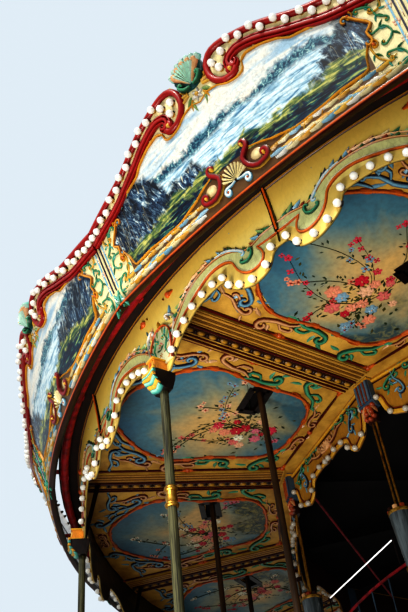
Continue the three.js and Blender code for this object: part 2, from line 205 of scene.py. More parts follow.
def smooth(points, step=0.03, closed=False):
    """A curve through the points, with its own points about one step apart."""
    knots = np.asarray(points, float)
    if closed:
        knots = np.vstack([knots[-1:], knots, knots[:2]])
    else:
        knots = np.vstack([2 * knots[0] - knots[1], knots, 2 * knots[-1] - knots[-2]])
    path = []
    for before, here, there, after in zip(knots, knots[1:], knots[2:], knots[3:]):
        count = max(1, math.ceil(np.linalg.norm(there - here) / step))
        for share in np.arange(count) / count:
            path.append(0.5 * (2 * here + (there - before) * share
                               + (2 * before - 5 * here + 4 * there - after) * share ** 2
                               + (3 * here - before - 3 * there + after) * share ** 3))
    if not closed:
        path.append(knots[-2])
    return np.array(path)


def curl(path, radius, turns):
    """The path carried on from its end into a spiral. Positive turns wind anticlockwise."""
    path = np.asarray(path, float)
    heading = path[-1] - path[-2]
    heading /= np.linalg.norm(heading)
    side = math.copysign(1, turns)
    centre = path[-1] + side * radius * np.array([-heading[1], heading[0]])
    spoke = path[-1] - centre
    first = math.atan2(spoke[1], spoke[0])
    count = max(5, math.ceil(abs(turns) * 10))
    shares = np.arange(1, count + 1) / count
    angles = first + shares * turns * math.tau
    radii = radius * (1 - 0.72 * shares)
    winding = centre + np.stack([np.cos(angles) * radii, np.sin(angles) * radii], 1)
    return np.vstack([path, winding]), centre


def sweep(carving, path, section, width, height, paint, closed=False, lift=0.0):
    """A moulding of that section along the path. Width and height may change along it."""
    path = np.asarray(path, float)
    count = len(path)
    if closed:
        heading = np.roll(path, -1, 0) - np.roll(path, 1, 0)
    else:
        heading = np.gradient(path, axis=0)
    heading /= np.maximum(np.linalg.norm(heading, axis=1, keepdims=True), 1e-9)
    side = np.stack([heading[:, 1], -heading[:, 0]], 1)
    widths = np.broadcast_to(np.asarray(width, float), count)
    heights = np.broadcast_to(np.asarray(height, float), count)
    corners = len(section)
    points = []
    for spot, across, wide, high in zip(path, side, widths, heights):
        for reach, rise in section:
            flat = spot + across * reach * wide / 2
            points.append((flat[0], flat[1], lift + (high * rise if rise else -SINK)))
    if np.isscalar(paint[0]):
        colours = [paint] * corners
    else:
        colours = [paint[index] for index in np.linspace(0, len(paint) - 1, corners).round().astype(int)]
    faces = []
    for step in range(count if closed else count - 1):
        here = step * corners
        there = (step + 1) % count * corners
        for corner in range(corners):
            following = (corner + 1) % corners
            faces.append((here + corner, here + following, there + following, there + corner))
    if not closed:
        faces.append(tuple(reversed(range(corners))))
        faces.append(tuple(range((count - 1) * corners, count * corners)))
    carving.add(points, faces, colours * count)


def scroll(carving, points, width, height, paint, start=0.0, end=0.0, radius=0.04, boss=None, step=0.035):
    """A tapered scroll through the points, curled at its start and end by that many turns."""
    section = HALF_ROUND if width > 0.05 else LOW_ROUND if width > 0.02 else RIDGE
    path = smooth(points, step)
    bosses = []
    if end:
        path, centre = curl(path, radius, end)
        bosses.append(centre)
    if start:
        path, centre = curl(path[::-1], radius, start)
        path = path[::-1]
        bosses.append(centre)
    shares = np.linspace(-1, 1, len(path))
    taper = 1 - 0.55 * np.abs(shares) ** 3
    sweep(carving, path, section, width * taper, height * (1 - 0.3 * np.abs(shares) ** 3), paint)
    for centre in bosses if boss else ():
        dome(carving, centre, radius * 0.36, height * 1.25, boss)


def leaf(carving, points, width, height, paint, lobes=3, step=0.03):
    """A lobed leaf along the points, from its stalk to its tip. The paint is its edge, in painted shade, and
    its crest, in a painted highlight.
    """
    section = LEAF if width > 0.046 else RIDGE
    path = smooth(points, step)
    shares = np.linspace(0, 1, len(path))
    swell = np.sin(np.pi * np.minimum(0.12 + 0.88 * shares, 0.985) ** 0.8)
    widths = width * swell * (0.78 + 0.22 * np.abs(np.cos(lobes * np.pi * shares)))
    edge, crest = paint
    vein = tuple((low + high) / 2 for low, high in zip(edge, crest))
    sweep(carving, path, section, widths, height * (0.35 + 0.65 * swell),
          (edge, crest, vein, crest, edge) if section is LEAF else (edge, crest, edge))


def dome(carving, centre, size, height, paint, sides=8, rings=2, turn=0.0, lift=0.0):
    """A boss, bead or petal. The paint is one colour, or its rim in painted shade and its top in a painted
    highlight.
    """
    across, up = (size, size) if np.isscalar(size) else size
    rim, top = paint if not np.isscalar(paint[0]) else (paint, paint)
    points, colours = [], []
    for ring in range(rings):
        rise = ring / rings
        reach = math.cos(rise * math.pi / 2)
        for side in range(sides):
            angle = side * math.tau / sides
            flat_x = across * reach * math.cos(angle)
            flat_y = up * reach * math.sin(angle)
            out = lift + (height * math.sin(rise * math.pi / 2) if ring else -SINK)
            points.append((centre[0] + flat_x * math.cos(turn) - flat_y * math.sin(turn),
                           centre[1] + flat_x * math.sin(turn) + flat_y * math.cos(turn), out))
            colours.append(tuple(low + (high - low) * rise for low, high in zip(rim, top)))
    points.append((centre[0], centre[1], lift + height))
    colours.append(top)
    faces = [tuple(reversed(range(sides)))]
    for ring in range(rings - 1):
        for side in range(sides):
            following = (side + 1) % sides
            faces.append((ring * sides + side, ring * sides + following,
                          (ring + 1) * sides + following, (ring + 1) * sides + side))
    last = (rings - 1) * sides
    faces.extend((last + side, last + (side + 1) % sides, rings * sides) for side in range(sides))
    carving.add(points, faces, colours)


def fan(carving, hinge, radius, spread, ribs, height, crest, valley, heading=math.pi / 2, fill=1.04):
    """A scallop shell: ribs that open from the hinge, each with a round end; its valleys in painted shade."""
    pitch = 2 * spread / (ribs - 1)
    for rib in range(ribs):
        angle = heading - spread + rib * pitch
        reach = radius * (0.86 + 0.14 * math.cos(angle - heading))
        ray = np.array([math.cos(angle), math.sin(angle)])
        shares = np.linspace(0.12, 1, 4)
        path = np.array(hinge) + np.outer(shares * reach, ray)
        widths = shares * reach * pitch * fill
        sweep(carving, path, LOW_ROUND, widths, height * (0.45 + 0.55 * shares),
              (valley, crest, crest, crest, valley))
        dome(carving, path[-1], widths[-1] * 0.5, height, (valley, crest), sides=6)


def bloom(carving, centre, radius, petal, heart, petals=5, turn=0.0, height=0.012):
    """An open flower."""
    for index in range(petals):
        angle = turn + index * math.tau / petals
        spot = (centre[0] + 0.55 * radius * math.cos(angle), centre[1] + 0.55 * radius * math.sin(angle))
        dome(carving, spot, (0.50 * radius, 0.47 * radius), height * 0.8, petal, sides=6, rings=1, turn=angle)
    dome(carving, centre, 0.32 * radius, height, heart, sides=6, rings=1)


def slab(carving, columns, rows, thickness, paint, back_paint):
    """A sheet between a bottom and a top edge. Columns are (across, bottom, top), from left to right.

    The paint is one colour, or a function of across, up and the share of the height.
    """
    front, back, colours = [], [], []
    for across, bottom, top in columns:
        for row in range(rows + 1):
            share = row / rows
            up = bottom + (top - bottom) * share
            front.append((across, up, 0.0))
            back.append((across, up, -thickness))
            colours.append(paint(across, up, share) if callable(paint) else paint)
    count = len(front)
    lane = rows + 1
    faces = []
    for column in range(len(columns) - 1):
        for row in range(rows):
            first = column * lane + row
            second = first + lane
            faces.append((first, second, second + 1, first + 1))
            faces.append((count + first, count + first + 1, count + second + 1, count + second))
        low, high = column * lane, column * lane + rows
        faces.append((low, count + low, count + low + lane, low + lane))
        faces.append((high, high + lane, count + high + lane, count + high))
    last = (len(columns) - 1) * lane
    for row in range(rows):
        faces.append((row, row + 1, count + row + 1, count + row))
        faces.append((last + row, count + last + row, count + last + row + 1, last + row + 1))
    carving.add(front + back, faces, colours + [back_paint] * count)


def between(knots, share):
    """The height of a chain of (place, height) points at a place."""
    places, heights = zip(*knots)
    return float(np.interp(share, places, heights))


# Surfaces: each takes design points and returns points of the bay that faces -Y


def around(across, radius, height, drawn_radius):
    angle = across / drawn_radius
    return np.stack([radius * np.sin(angle), -radius * np.cos(angle), height], 1)


def on_board(points):
    across, up, out = np.asarray(points, float).T
    tilt = math.hypot(1, BOARD_LEAN)
    radius = BOARD_FOOT_RADIUS + BOARD_LEAN * (up - BOARD_FOOT) + out / tilt
    return around(across, radius, up - BOARD_LEAN * out / tilt, BOARD_ARC_RADIUS)


def on_valance(points):
    """The valance hangs straight, and the cornice above it leans out."""
    across, up, out = np.asarray(points, float).T
    radius = VALANCE_RADIUS + CORNICE_LEAN * np.maximum(up - CORNICE_FOOT, 0) + out
    return around(across, radius, up, VALANCE_RADIUS)


def on_ceiling(points):
    """Across, distance from the axis, and down from the boards."""
    across, radius, out = np.asarray(points, float).T
    return np.stack([across, -radius, CEILING_HEIGHT - out], 1)


def on_chord(points):
    across, up, out = np.asarray(points, float).T
    return np.stack([across, -(CHORD_RADIUS + out), up], 1)


def on_drum(radius):
    return lambda points: around(points[:, 0], radius + points[:, 2], points[:, 1], radius)


def as_drawn(points):
    return np.asarray(points, float)


def build_mesh(name, carving, surface, finishes, picture=None):
    """Lays a carving on its surface. Picture gives each point's place in a painting, if it has one."""
    mesh = bpy.data.meshes.new(name)
    points = surface(np.array(carving.points, float))
    mesh.from_pydata(points.tolist(), [], carving.faces)
    mesh.polygons.foreach_set("material_index", carving.finish)
    colours = np.ones((len(points), 4))
    colours[:, :3] = carving.paint
    layer = mesh.color_attributes.new("Paint", "FLOAT_COLOR", "POINT")
    layer.data.foreach_set("color", colours.ravel())
    if picture is not None:
        layer = mesh.attributes.new("Picture", "FLOAT_VECTOR", "POINT")
        layer.data.foreach_set("vector", np.asarray(picture, float).ravel())
    for finish in finishes:
        mesh.materials.append(finish)
    mesh.shade_smooth()
    mesh.set_sharp_from_angle(angle=SHARP_ANGLE)
    mesh.update()
    return mesh


def stand(mesh, name, body=TURNING, place=0.0, stands_for=()):
    """Puts a piece at its place, counted in bays from post 1, and lets it ride on its body."""
    piece = bpy.data.objects.new(name, mesh)
    bpy.context.scene.collection.objects.link(piece)
    piece.rotation_euler.z = -place * BAY_ANGLE
    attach(piece, body)
    if stands_for:
        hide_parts(*stands_for)
    return piece


def every_bay(name, carving, surface, finishes, offset=0.0, body=TURNING, node=None, whole=None):
    """The same piece in all bays. Each stands for the node of its number, or the first one for a whole."""
    mesh = build_mesh(name, carving, surface, [finish_of(finish) for finish in finishes])
    for bay in range(BAYS):
        number = f"_{bay + 1:02d}"
        stands_for = ()
        if node:
            stands_for = (node + number,)
        elif whole and bay == 0:
            stands_for = (whole,)
        stand(mesh, name + number, body, bay + offset, stands_for)


def all_round(name, carving, finishes, body=TURNING, node=None):
    """One piece that goes all the way round, and the node that it stands for."""
    mesh = build_mesh(name, carving, as_drawn, [finish_of(finish) for finish in finishes])
    stand(mesh, name, body, stands_for=(node,) if node else ())


def repaint(node, finish):
    """Gives a solid that shows as it is its own finish."""
    mesh = frame["nodes"][node].data
    mesh.materials.clear()
    mesh.materials.append(finish_of(finish))


def painted_panel(name, carving, surface, finish, places, bay):
    """The panel of one bay, with the place of each point in its painting."""
    picture = np.column_stack([places, np.full(len(places), bay)])
    mesh = build_mesh(name, carving, surface, [finish_of(finish)], picture)
    stand(mesh, name, place=bay + HALF_BAY)


# Finishes


class Finish:
    """Builds one procedural material around a Principled shader."""

    COAT_ROUGHNESS = 0.1

    def __init__(self, name, roughness=0.4, metallic=0.0, coat=0.0, specular=0.5):
        self.material = bpy.data.materials.new(name)
        self.material.use_nodes = True
        self.nodes = self.material.node_tree.nodes
        self.links = self.material.node_tree.links
        self.shader = self.nodes["Principled BSDF"]
        self.shader.inputs["Roughness"].default_value = roughness
        self.shader.inputs["Metallic"].default_value = metallic
        self.shader.inputs["Coat Weight"].default_value = coat
        self.shader.inputs["Coat Roughness"].default_value = self.COAT_ROUGHNESS
        self.shader.inputs["Specular IOR Level"].default_value = specular
        self.place = self.node("ShaderNodeTexCoord").outputs["Object"]

    def node(self, kind, **settings):
        made = self.nodes.new(kind)
        for key, value in settings.items():
            setattr(made, key, value)
        return made

    def feed(self, socket, value):
        if isinstance(value, bpy.types.NodeSocket):
            self.links.new(value, socket)
        elif hasattr(value, "__len__") and len(value) == 3 and socket.type == "RGBA":
            socket.default_value = (*value, 1.0)
        else:
            socket.default_value = value

    def math(self, operation, first, second=0.0, clamp=False):
        """An arithmetic step on two values, or on one."""
        made = self.node("ShaderNodeMath", operation=operation, use_clamp=clamp)
        self.feed(made.inputs[0], first)
        self.feed(made.inputs[1], second)
        return made.outputs[0]

    def plus(self, first, second, clamp=False):
        return self.math("ADD", first, second, clamp)

    def minus(self, first, second):
        return self.math("SUBTRACT", first, second)

    def times(self, first, second):
        return self.math("MULTIPLY", first, second)

    def mix(self, factor, first, second, blend="MIX"):
        made = self.node("ShaderNodeMix", data_type="RGBA", blend_type=blend)
        self.feed(made.inputs[0], factor)
        self.feed(made.inputs[6], first)
        self.feed(made.inputs[7], second)
        return made.outputs[2]

    def ramp(self, factor, *stops):
        """Stops are (place, value) or (place, colour)."""
        made = self.node("ShaderNodeValToRGB")
        elements = made.color_ramp.elements
        while len(elements) < len(stops):
            elements.new(0.5)
        for element, (place, value) in zip(elements, stops):
            element.position = place
            element.color = (*value, 1.0) if hasattr(value, "__len__") else (value, value, value, 1.0)
        self.links.new(factor, made.inputs[0])
        return made.outputs[0]

    def stretched(self, scale, vector=None):
        made = self.node("ShaderNodeMapping")
        self.links.new(vector or self.place, made.inputs["Vector"])
        made.inputs["Scale"].default_value = scale
        return made.outputs[0]

    def noise(self, scale, detail=4.0, vector=None, distortion=0.0, roughness=0.55):
        made = self.node("ShaderNodeTexNoise")
        self.links.new(vector or self.place, made.inputs["Vector"])
        made.inputs["Scale"].default_value = scale
        made.inputs["Detail"].default_value = detail
        made.inputs["Roughness"].default_value = roughness
        made.inputs["Distortion"].default_value = distortion
        return made.outputs[0]

    def cell_edges(self, scale, vector):
        """Distance from the nearest edge of a net of cells."""
        made = self.node("ShaderNodeTexVoronoi", feature="DISTANCE_TO_EDGE")
        self.links.new(vector, made.inputs["Vector"])
        made.inputs["Scale"].default_value = scale
        return made.outputs["Distance"]

    def attribute(self, name, output="Color"):
        return self.node("ShaderNodeAttribute", attribute_name=name).outputs[output]

    def split(self, vector):
        made = self.node("ShaderNodeSeparateXYZ")
        self.links.new(vector, made.inputs[0])
        return made.outputs[0], made.outputs[1], made.outputs[2]

    def join(self, across, up, depth):
        made = self.node("ShaderNodeCombineXYZ")
        for socket, value in zip(made.inputs, (across, up, depth)):
            self.feed(socket, value)
        return made.outputs[0]

    def colour(self, value):
        self.feed(self.shader.inputs["Base Color"], value)

    def roughness(self, factor, low, high):
        self.feed(self.shader.inputs["Roughness"], self.ramp(factor, (0.0, low), (1.0, high)))

    def bump(self, height, depth, strength):
        made = self.node("ShaderNodeBump")
        made.inputs["Strength"].default_value = strength
        made.inputs["Distance"].default_value = depth
        self.links.new(height, made.inputs["Height"])
        self.links.new(made.outputs[0], self.shader.inputs["Normal"])


def enamel(name, roughness=0.36, coat=0.12, age=1.0):
    """Brushed enamel in the colours painted on the mesh, with their painted shade and highlights; mottled,
    crazed and a little dirty.
    """
    finish = Finish(name, roughness, coat=coat, specular=0.35)
    paint = finish.attribute("Paint")
    mottle = finish.noise(5.0, 6.0, distortion=0.6)
    brush = finish.noise(60.0, 3.0, finish.stretched((1.0, 1.0, 0.35)))
    crazing = finish.cell_edges(26.0, finish.stretched((1.0, 1.0, 0.7)))
    shade = finish.ramp(mottle, (0.25, 1 - 0.28 * age), (0.52, 1.0), (0.8, 1.1))
    colour = finish.mix(1.0, paint, shade, "MULTIPLY")
    colour = finish.mix(finish.ramp(brush, (0.35, 0.18 * age), (0.62, 0.0)), colour, BROWN)
    lines = finish.ramp(crazing, (0.0, 0.3 * age), (0.03, 0.0))
    colour = finish.mix(lines, colour, BROWN)
    finish.colour(colour)
    finish.roughness(mottle, roughness - 0.1, roughness + 0.16)
    finish.bump(brush, 0.0006, 0.5)
    return finish.material


def plain_paint(name, colour, dark, roughness=0.45, coat=0.1, streak=(1.0, 1.0, 0.2), scale=14.0,
                metallic=0.0, depth=0.0008, edge=(0.3, 0.62)):
    """One paint over sheet or timber, with runs, scuffs and dull patches."""
    finish = Finish(name, roughness, metallic, coat, specular=0.35)
    runs = finish.noise(scale, 6.0, finish.stretched(streak), 0.3)
    patches = finish.noise(2.2, 5.0, distortion=0.5)
    scuffs = finish.noise(120.0, 2.0, finish.stretched(streak))
    mixed = finish.mix(finish.ramp(runs, (edge[0], 1.0), (edge[1], 0.0)), colour, dark)
    light = tuple(min(1.0, step * 1.3 + 0.01) for step in colour)
    mixed = finish.mix(finish.ramp(patches, (0.45, 0.0), (0.75, 0.55)), mixed, light)
    mixed = finish.mix(finish.ramp(scuffs, (0.3, 0.4), (0.42, 0.0)), mixed, dark)
    finish.colour(mixed)
    finish.roughness(patches, max(0.05, roughness - 0.12), roughness + 0.18)
    finish.bump(runs, depth, 0.6)
    return finish.material


def metal(name, colour, tarnish, roughness=0.28):
    """Rubbed metal with tarnish in patches."""
    finish = Finish(name, roughness, 1.0)
    patches = finish.noise(18.0, 6.0, distortion=0.8)
    rubbed = finish.noise(140.0, 2.0, finish.stretched((1.0, 1.0, 0.15)))
    mixed = finish.mix(finish.ramp(patches, (0.42, 0.0), (0.66, 0.85)), colour, tarnish)
    mixed = finish.mix(finish.ramp(rubbed, (0.38, 0.35), (0.5, 0.0)), mixed, tarnish)
    finish.colour(mixed)
    finish.roughness(patches, roughness - 0.06, roughness + 0.3)
    finish.bump(rubbed, 0.0004, 0.4)
    return finish.material


def opal_glass(name, colour, glow=0.0):
    """White lamp glass with a soft clouding."""
    finish = Finish(name, 0.16, coat=0.6, specular=0.6)
    cloud = finish.noise(30.0, 3.0)
    dim = tuple(step * 0.82 for step in colour)
    finish.colour(finish.mix(finish.ramp(cloud, (0.35, 0.0), (0.7, 1.0)), dim, colour))
    if glow:
        finish.shader.inputs["Emission Color"].default_value = (*colour, 1.0)
        finish.shader.inputs["Emission Strength"].default_value = glow
    finish.bump(cloud, 0.0003, 0.2)
    return finish.material


def landscape(name):
    """Loose oil landscapes, one for each bay: sky, a far tree line, water, a green bank and dark woods."""
    finish = Finish(name, 0.36, coat=0.1, specular=0.35)
    across, up, bay = finish.split(finish.attribute("Picture", "Vector"))
    shift = finish.times(bay, 7.31)
    wide = finish.join(across, up, shift)
    long_marks = finish.join(finish.times(across, 0.5), finish.times(up, 3.2), shift)
    tall_marks = finish.join(finish.times(across, 9.0), finish.times(up, 0.7), shift)
    ragged = finish.noise(7.0, 6.0, wide, 1.0)
    streaks = finish.noise(8.0, 6.0, long_marks, 0.8)
    flecks = finish.noise(15.0, 8.0, wide, 1.6, 0.65)
    slant = finish.plus(finish.times(across, 1.9), up)
    rise = finish.minus(finish.times(up, 0.6), finish.times(across, 0.35))
    strokes = finish.noise(9.0, 8.0, finish.join(slant, rise, shift), 1.2, 0.68)

    def above(value, edge, hardness=16.0):
        """1 where the value lies over the edge."""
        gap = finish.times(finish.minus(value, edge), hardness)
        return finish.plus(gap, 0.5, clamp=True)

    def wander(scale, low, high, seed):
        line = finish.noise(scale, 2.0, finish.join(across, seed, shift))
        return finish.plus(finish.times(line, 2 * (high - low)), low - 0.5 * (high - low))

    def rough(value, amount):
        return finish.plus(value, finish.times(finish.minus(ragged, 0.5), amount))

    clouds = finish.noise(2.6, 5.0, long_marks, 0.9)
    sky = finish.ramp(clouds, (0.34, tone(150, 182, 204)), (0.48, tone(208, 214, 212)),
                      (0.66, tone(232, 224, 208)))
    trees = finish.ramp(flecks, (0.42, tone(22, 56, 82)), (0.52, tone(54, 104, 124)),
                        (0.60, tone(124, 168, 170)), (0.68, tone(214, 226, 210)))
    water = finish.ramp(streaks, (0.32, tone(62, 112, 150)), (0.44, tone(146, 184, 204)),
                        (0.56, tone(208, 224, 228)))
    bank = finish.ramp(streaks, (0.40, tone(34, 72, 56)), (0.50, tone(106, 124, 64)),
                       (0.60, tone(192, 186, 104)))
    meadow = finish.ramp(streaks, (0.42, tone(4, 10, 30)), (0.52, tone(12, 36, 62)), (0.58, tone(26, 88, 86)),
                         (0.66, tone(160, 172, 92)))
    woods = finish.ramp(strokes, (0.40, tone(8, 14, 26)), (0.49, tone(24, 42, 66)), (0.56, tone(66, 92, 114)),
                        (0.62, tone(146, 166, 174)), (0.70, tone(234, 234, 214)))
    trunks = finish.ramp(finish.noise(2.2, 1.0, tall_marks, 0.1), (0.60, 0.0), (0.615, 0.8), (0.63, 0.0))
    woods = finish.mix(trunks, woods, tone(214, 208, 176))
    masses = finish.ramp(finish.noise(3.0, 3.0, wide, 0.6), (0.42, 0.45), (0.60, 1.5))
    woods = finish.mix(1.0, woods, masses, "MULTIPLY")
    level = rough(up, 0.3)
    bank_line = wander(1.0, 0.10, 0.46, 23.0)
    colour = finish.mix(above(level, wander(1.1, 0.60, 0.86, 3.0)), trees, sky)
    colour = finish.mix(above(rough(up, 0.08), wander(0.9, 0.50, 0.74, 11.0)), water, colour)
    left = finish.plus(finish.times(across, 0.5), rough(up, 0.5))
    colour = finish.mix(above(left, wander(1.3, -0.12, 0.46, 31.0), 9.0), woods, colour)
    right = finish.minus(rough(up, 0.6), finish.times(across, 0.75))
    colour = finish.mix(above(right, wander(1.2, -0.80, -0.25, 41.0), 9.0), woods, colour)
    colour = finish.mix(above(level, bank_line), bank, colour)
    colour = finish.mix(above(level, finish.minus(bank_line, 0.09)), meadow, colour)
    colour = finish.mix(1.0, colour, finish.ramp(flecks, (0.3, 0.72), (0.5, 1.0), (0.72, 1.15)), "MULTIPLY")
    finish.colour(colour)
    finish.roughness(flecks, 0.3, 0.52)
    finish.bump(flecks, 0.0012, 0.5)
    return finish.material


def flower_ground(name):
    """The clouded ground of a ceiling picture: ochre, slate blue round it, and an olive thicket."""
    finish = Finish(name, 0.42, coat=0.1)
    across, up, bay = finish.split(finish.attribute("Picture", "Vector"))
    shift = finish.times(bay, 5.17)
    wide = finish.join(across, up, shift)
    cloud = finish.noise(2.4, 5.0, wide, 0.9)
    leaves = finish.noise(22.0, 5.0, wide, 1.4)
    off_middle = finish.math("ABSOLUTE", finish.minus(up, 0.42))
    reach = finish.plus(finish.times(finish.math("ABSOLUTE", across), 0.8), off_middle)
    reach = finish.plus(reach, finish.times(finish.minus(cloud, 0.5), 0.7))
    colour = finish.ramp(reach, (0.12, tone(214, 176, 112)), (0.3, tone(150, 152, 124)),
                         (0.46, tone(80, 124, 140)), (0.7, tone(54, 98, 124)))
    thicket = finish.ramp(leaves, (0.38, tone(26, 26, 12)), (0.5, tone(66, 66, 24)),
                          (0.64, tone(150, 136, 58)))
    edge = finish.plus(finish.times(finish.minus(cloud, 0.5), 1.4), 0.16)
    near = finish.times(finish.minus(edge, up), 8.0)
    own = finish.node("ShaderNodeTexWhiteNoise", noise_dimensions="1D")
    finish.links.new(bay, own.inputs["W"])
    amount = finish.times(finish.plus(near, 0.5, clamp=True), own.outputs[0])
    colour = finish.mix(amount, colour, thicket)
    fine = finish.noise(40.0, 3.0, wide)
    colour = finish.mix(finish.ramp(fine, (0.3, 0.22), (0.6, 0.0)), colour, BROWN)
    finish.colour(colour)
    finish.roughness(cloud, 0.34, 0.58)
    finish.bump(fine, 0.0008, 0.4)
    return finish.material


def planks(name, light, dark, board=0.14):
    """Boards laid side by side, each with its own tone and a dark joint."""
    finish = Finish(name, 0.55, coat=0.1)
    across, lengthwise, _ = finish.split(finish.place)
    strip = finish.math("DIVIDE", across, board)
    number = finish.math("FLOOR", strip)
    joint = finish.math("ABSOLUTE", finish.minus(finish.math("FRACT", strip), 0.5))
    own = finish.node("ShaderNodeTexWhiteNoise", noise_dimensions="1D")
    finish.links.new(number, own.inputs["W"])
    grain = finish.noise(3.0, 8.0, finish.join(finish.times(across, 20.0), lengthwise, number), 1.0)
    colour = finish.mix(finish.ramp(grain, (0.3, 0.0), (0.7, 1.0)), dark, light)
    colour = finish.mix(1.0, colour, finish.ramp(own.outputs[0], (0.0, 0.72), (1.0, 1.15)), "MULTIPLY")
    colour = finish.mix(finish.ramp(joint, (0.47, 0.0), (0.49, 0.9)), colour, BLACK)
    finish.colour(colour)
    finish.roughness(grain, 0.4, 0.72)
    finish.bump(grain, 0.0012, 0.5)
    return finish.material


FINISHES = {}


def finish_of(name):
    """The shared material of that name, made when it is first asked for."""
    if name not in FINISHES:
        FINISHES[name] = RECIPES[name](name)
    return FINISHES[name]


RECIPES = {
    "carved_enamel": lambda name: enamel(name),
    "ground_enamel": lambda name: enamel(name, 0.4, 0.15, 0.75),
    "smooth_enamel": lambda name: enamel(name, 0.4, 0.1, 0.3),
    "ceiling_paint": lambda name: plain_paint(name, tone(208, 164, 76), tone(150, 106, 42), 0.5, 0.05,
                                          (1.0, 1.0, 1.0), 7.0),
    # Near-black paint: black fittings, and painted shade on the soffit, the roof's upstand and the bulb
    # plates.
    "black_paint_and_painted_shade": lambda name: plain_paint(name, tone(34, 16, 13), BLACK, 0.75, 0.0),
    "deep_shade": lambda name: plain_paint(name, tone(15, 4, 5), tone(6, 2, 2), 0.95, 0.0),
    "red_tube": lambda name: plain_paint(name, tone(164, 16, 34), DEEP_RED, 0.5, 0.05),
    "olive_pole": lambda name: plain_paint(name, tone(92, 90, 62), tone(28, 28, 18), 0.66, 0.0,
                                      (1.0, 1.0, 0.025), 190.0, edge=(0.42, 0.58)),
    "brown_pole": lambda name: plain_paint(name, tone(70, 48, 24), tone(24, 15, 8), 0.6, 0.0,
                                      (1.0, 1.0, 0.05), 50.0),
    "brass": lambda name: metal(name, tone(214, 164, 78), tone(92, 56, 20)),
    "gilding": lambda name: metal(name, tone(244, 196, 88), tone(150, 92, 30), 0.34),
    "steel": lambda name: plain_paint(name, tone(92, 94, 96), tone(40, 40, 42), 0.4, metallic=0.6),
    "bulb_glass": lambda name: opal_glass(name, tone(252, 250, 242), 0.08),
    "tube_glass": lambda name: opal_glass(name, tone(252, 252, 252), 1.0),
    # Dark grey lamp glass as painted shade, with light and dark streaks.
    "shaded_frosted_glass": lambda name: plain_paint(name, tone(96, 106, 110), tone(20, 25, 30), 0.25, 0.5,
                                          (1.0, 1.0, 0.06), 46.0, edge=(0.34, 0.66)),
    # Greyer glass for the inner bulbs, as painted shade under the ceiling.
    "shaded_bulb_glass": lambda name: opal_glass(name, tone(206, 198, 184)),
    "landscape": lambda name: landscape(name),
    "flower_ground": lambda name: flower_ground(name),
    "deck_planks": lambda name: planks(name, tone(112, 76, 46), tone(52, 32, 18)),
    "dark_panel": lambda name: plain_paint(name, tone(60, 10, 12), tone(22, 4, 6), 0.5, 0.1),
    # A pale blue darkened as painted shade.
    "shaded_blue_baluster": lambda name: plain_paint(name, tone(58, 80, 98), tone(22, 32, 42), 0.5, 0.05),
    "roof_sheet": lambda name: plain_paint(name, tone(222, 208, 170), tone(192, 174, 134), 0.5,
                                      streak=(0.5, 0.5, 0.5), scale=5.0),
    "roof_stripe": lambda name: plain_paint(name, tone(136, 30, 28), tone(84, 16, 16), 0.5,
                                       streak=(0.5, 0.5, 0.5), scale=5.0),
}


# More drawing tools


def ball(carving, centre, radius, paint, sides=9, rings=4):
    """A lamp bulb's globe, with its poles in and out."""
    points = [(centre[0], centre[1], centre[2] - radius)]
    for ring in range(1, rings):
        lean = math.pi * ring / rings
        for side in range(sides):
            angle = side * math.tau / sides
            points.append((centre[0] + radius * math.sin(lean) * math.cos(angle),
                           centre[1] + radius * math.sin(lean) * math.sin(angle),
                           centre[2] - radius * math.cos(lean)))
    points.append((centre[0], centre[1], centre[2] + radius))
    faces = []
    for side in range(sides):
        following = (side + 1) % sides
        faces.append((0, 1 + following, 1 + side))
        for ring in range(rings - 2):
            here, there = 1 + ring * sides, 1 + (ring + 1) * sides
            faces.append((here + side, here + following, there + following, there + side))
        last = 1 + (rings - 2) * sides
        faces.append((last + side, last + following, len(points) - 1))
    carving.add(points, faces, [paint] * len(points))


def cup(carving, centre, low_radius, high_radius, low, high, paint, sides=6):
    """A lamp socket that opens outward."""
    points = []
    for radius, out in ((low_radius, low), (high_radius, high)):
        for side in range(sides):
            angle = side * math.tau / sides
            points.append((centre[0] + radius * math.cos(angle), centre[1] + radius * math.sin(angle), out))
    faces = [tuple(reversed(range(sides))), tuple(range(sides, 2 * sides))]
    for side in range(sides):
        following = (side + 1) % sides
        faces.append((side, following, sides + following, sides + side))
    carving.add(points, faces, [paint] * len(points))


def turned(carving, profile, paint, sides=20, centre=(0.0, 0.0), closed=False):
    """A body turned about an upright axis. The profile is (radius, height), from the bottom up."""
    count = len(profile)
    points, colours = [], []
    paints = paint if len(paint) == count and not np.isscalar(paint[0]) else [paint] * count
    for (radius, height), colour in zip(profile, paints):
        for side in range(sides):
            angle = side * math.tau / sides
            points.append((centre[0] + radius * math.cos(angle), centre[1] + radius * math.sin(angle),
                           height))
            colours.append(colour)
    faces = []
    for ring in range(count if closed else count - 1):
        here, there = ring * sides, (ring + 1) % count * sides
        for side in range(sides):
            following = (side + 1) % sides
            faces.append((here + side, here + following, there + following, there + side))
    if not closed:
        faces.append(tuple(reversed(range(sides))))
        faces.append(tuple(range((count - 1) * sides, count * sides)))
    carving.add(points, faces, colours)


def rod(carving, start, end, radius, paint, sides=8):
    """A round bar between two points in space."""
    start, end = np.asarray(start, float), np.asarray(end, float)
    axis = (end - start) / np.linalg.norm(end - start)
    first = np.cross(axis, (0.0, 0.0, 1.0) if abs(axis[2]) < 0.9 else (1.0, 0.0, 0.0))
    first /= np.linalg.norm(first)
    second = np.cross(axis, first)
    turns = np.arange(sides) * math.tau / sides
    ring = radius * (np.outer(np.cos(turns), first) + np.outer(np.sin(turns), second))
    faces = [tuple(reversed(range(sides))), tuple(range(sides, 2 * sides))]
    faces += [(side, (side + 1) % sides, sides + (side + 1) % sides, sides + side) for side in range(sides)]
    carving.add(np.vstack([start + ring, end + ring]), faces, [paint] * 2 * sides)


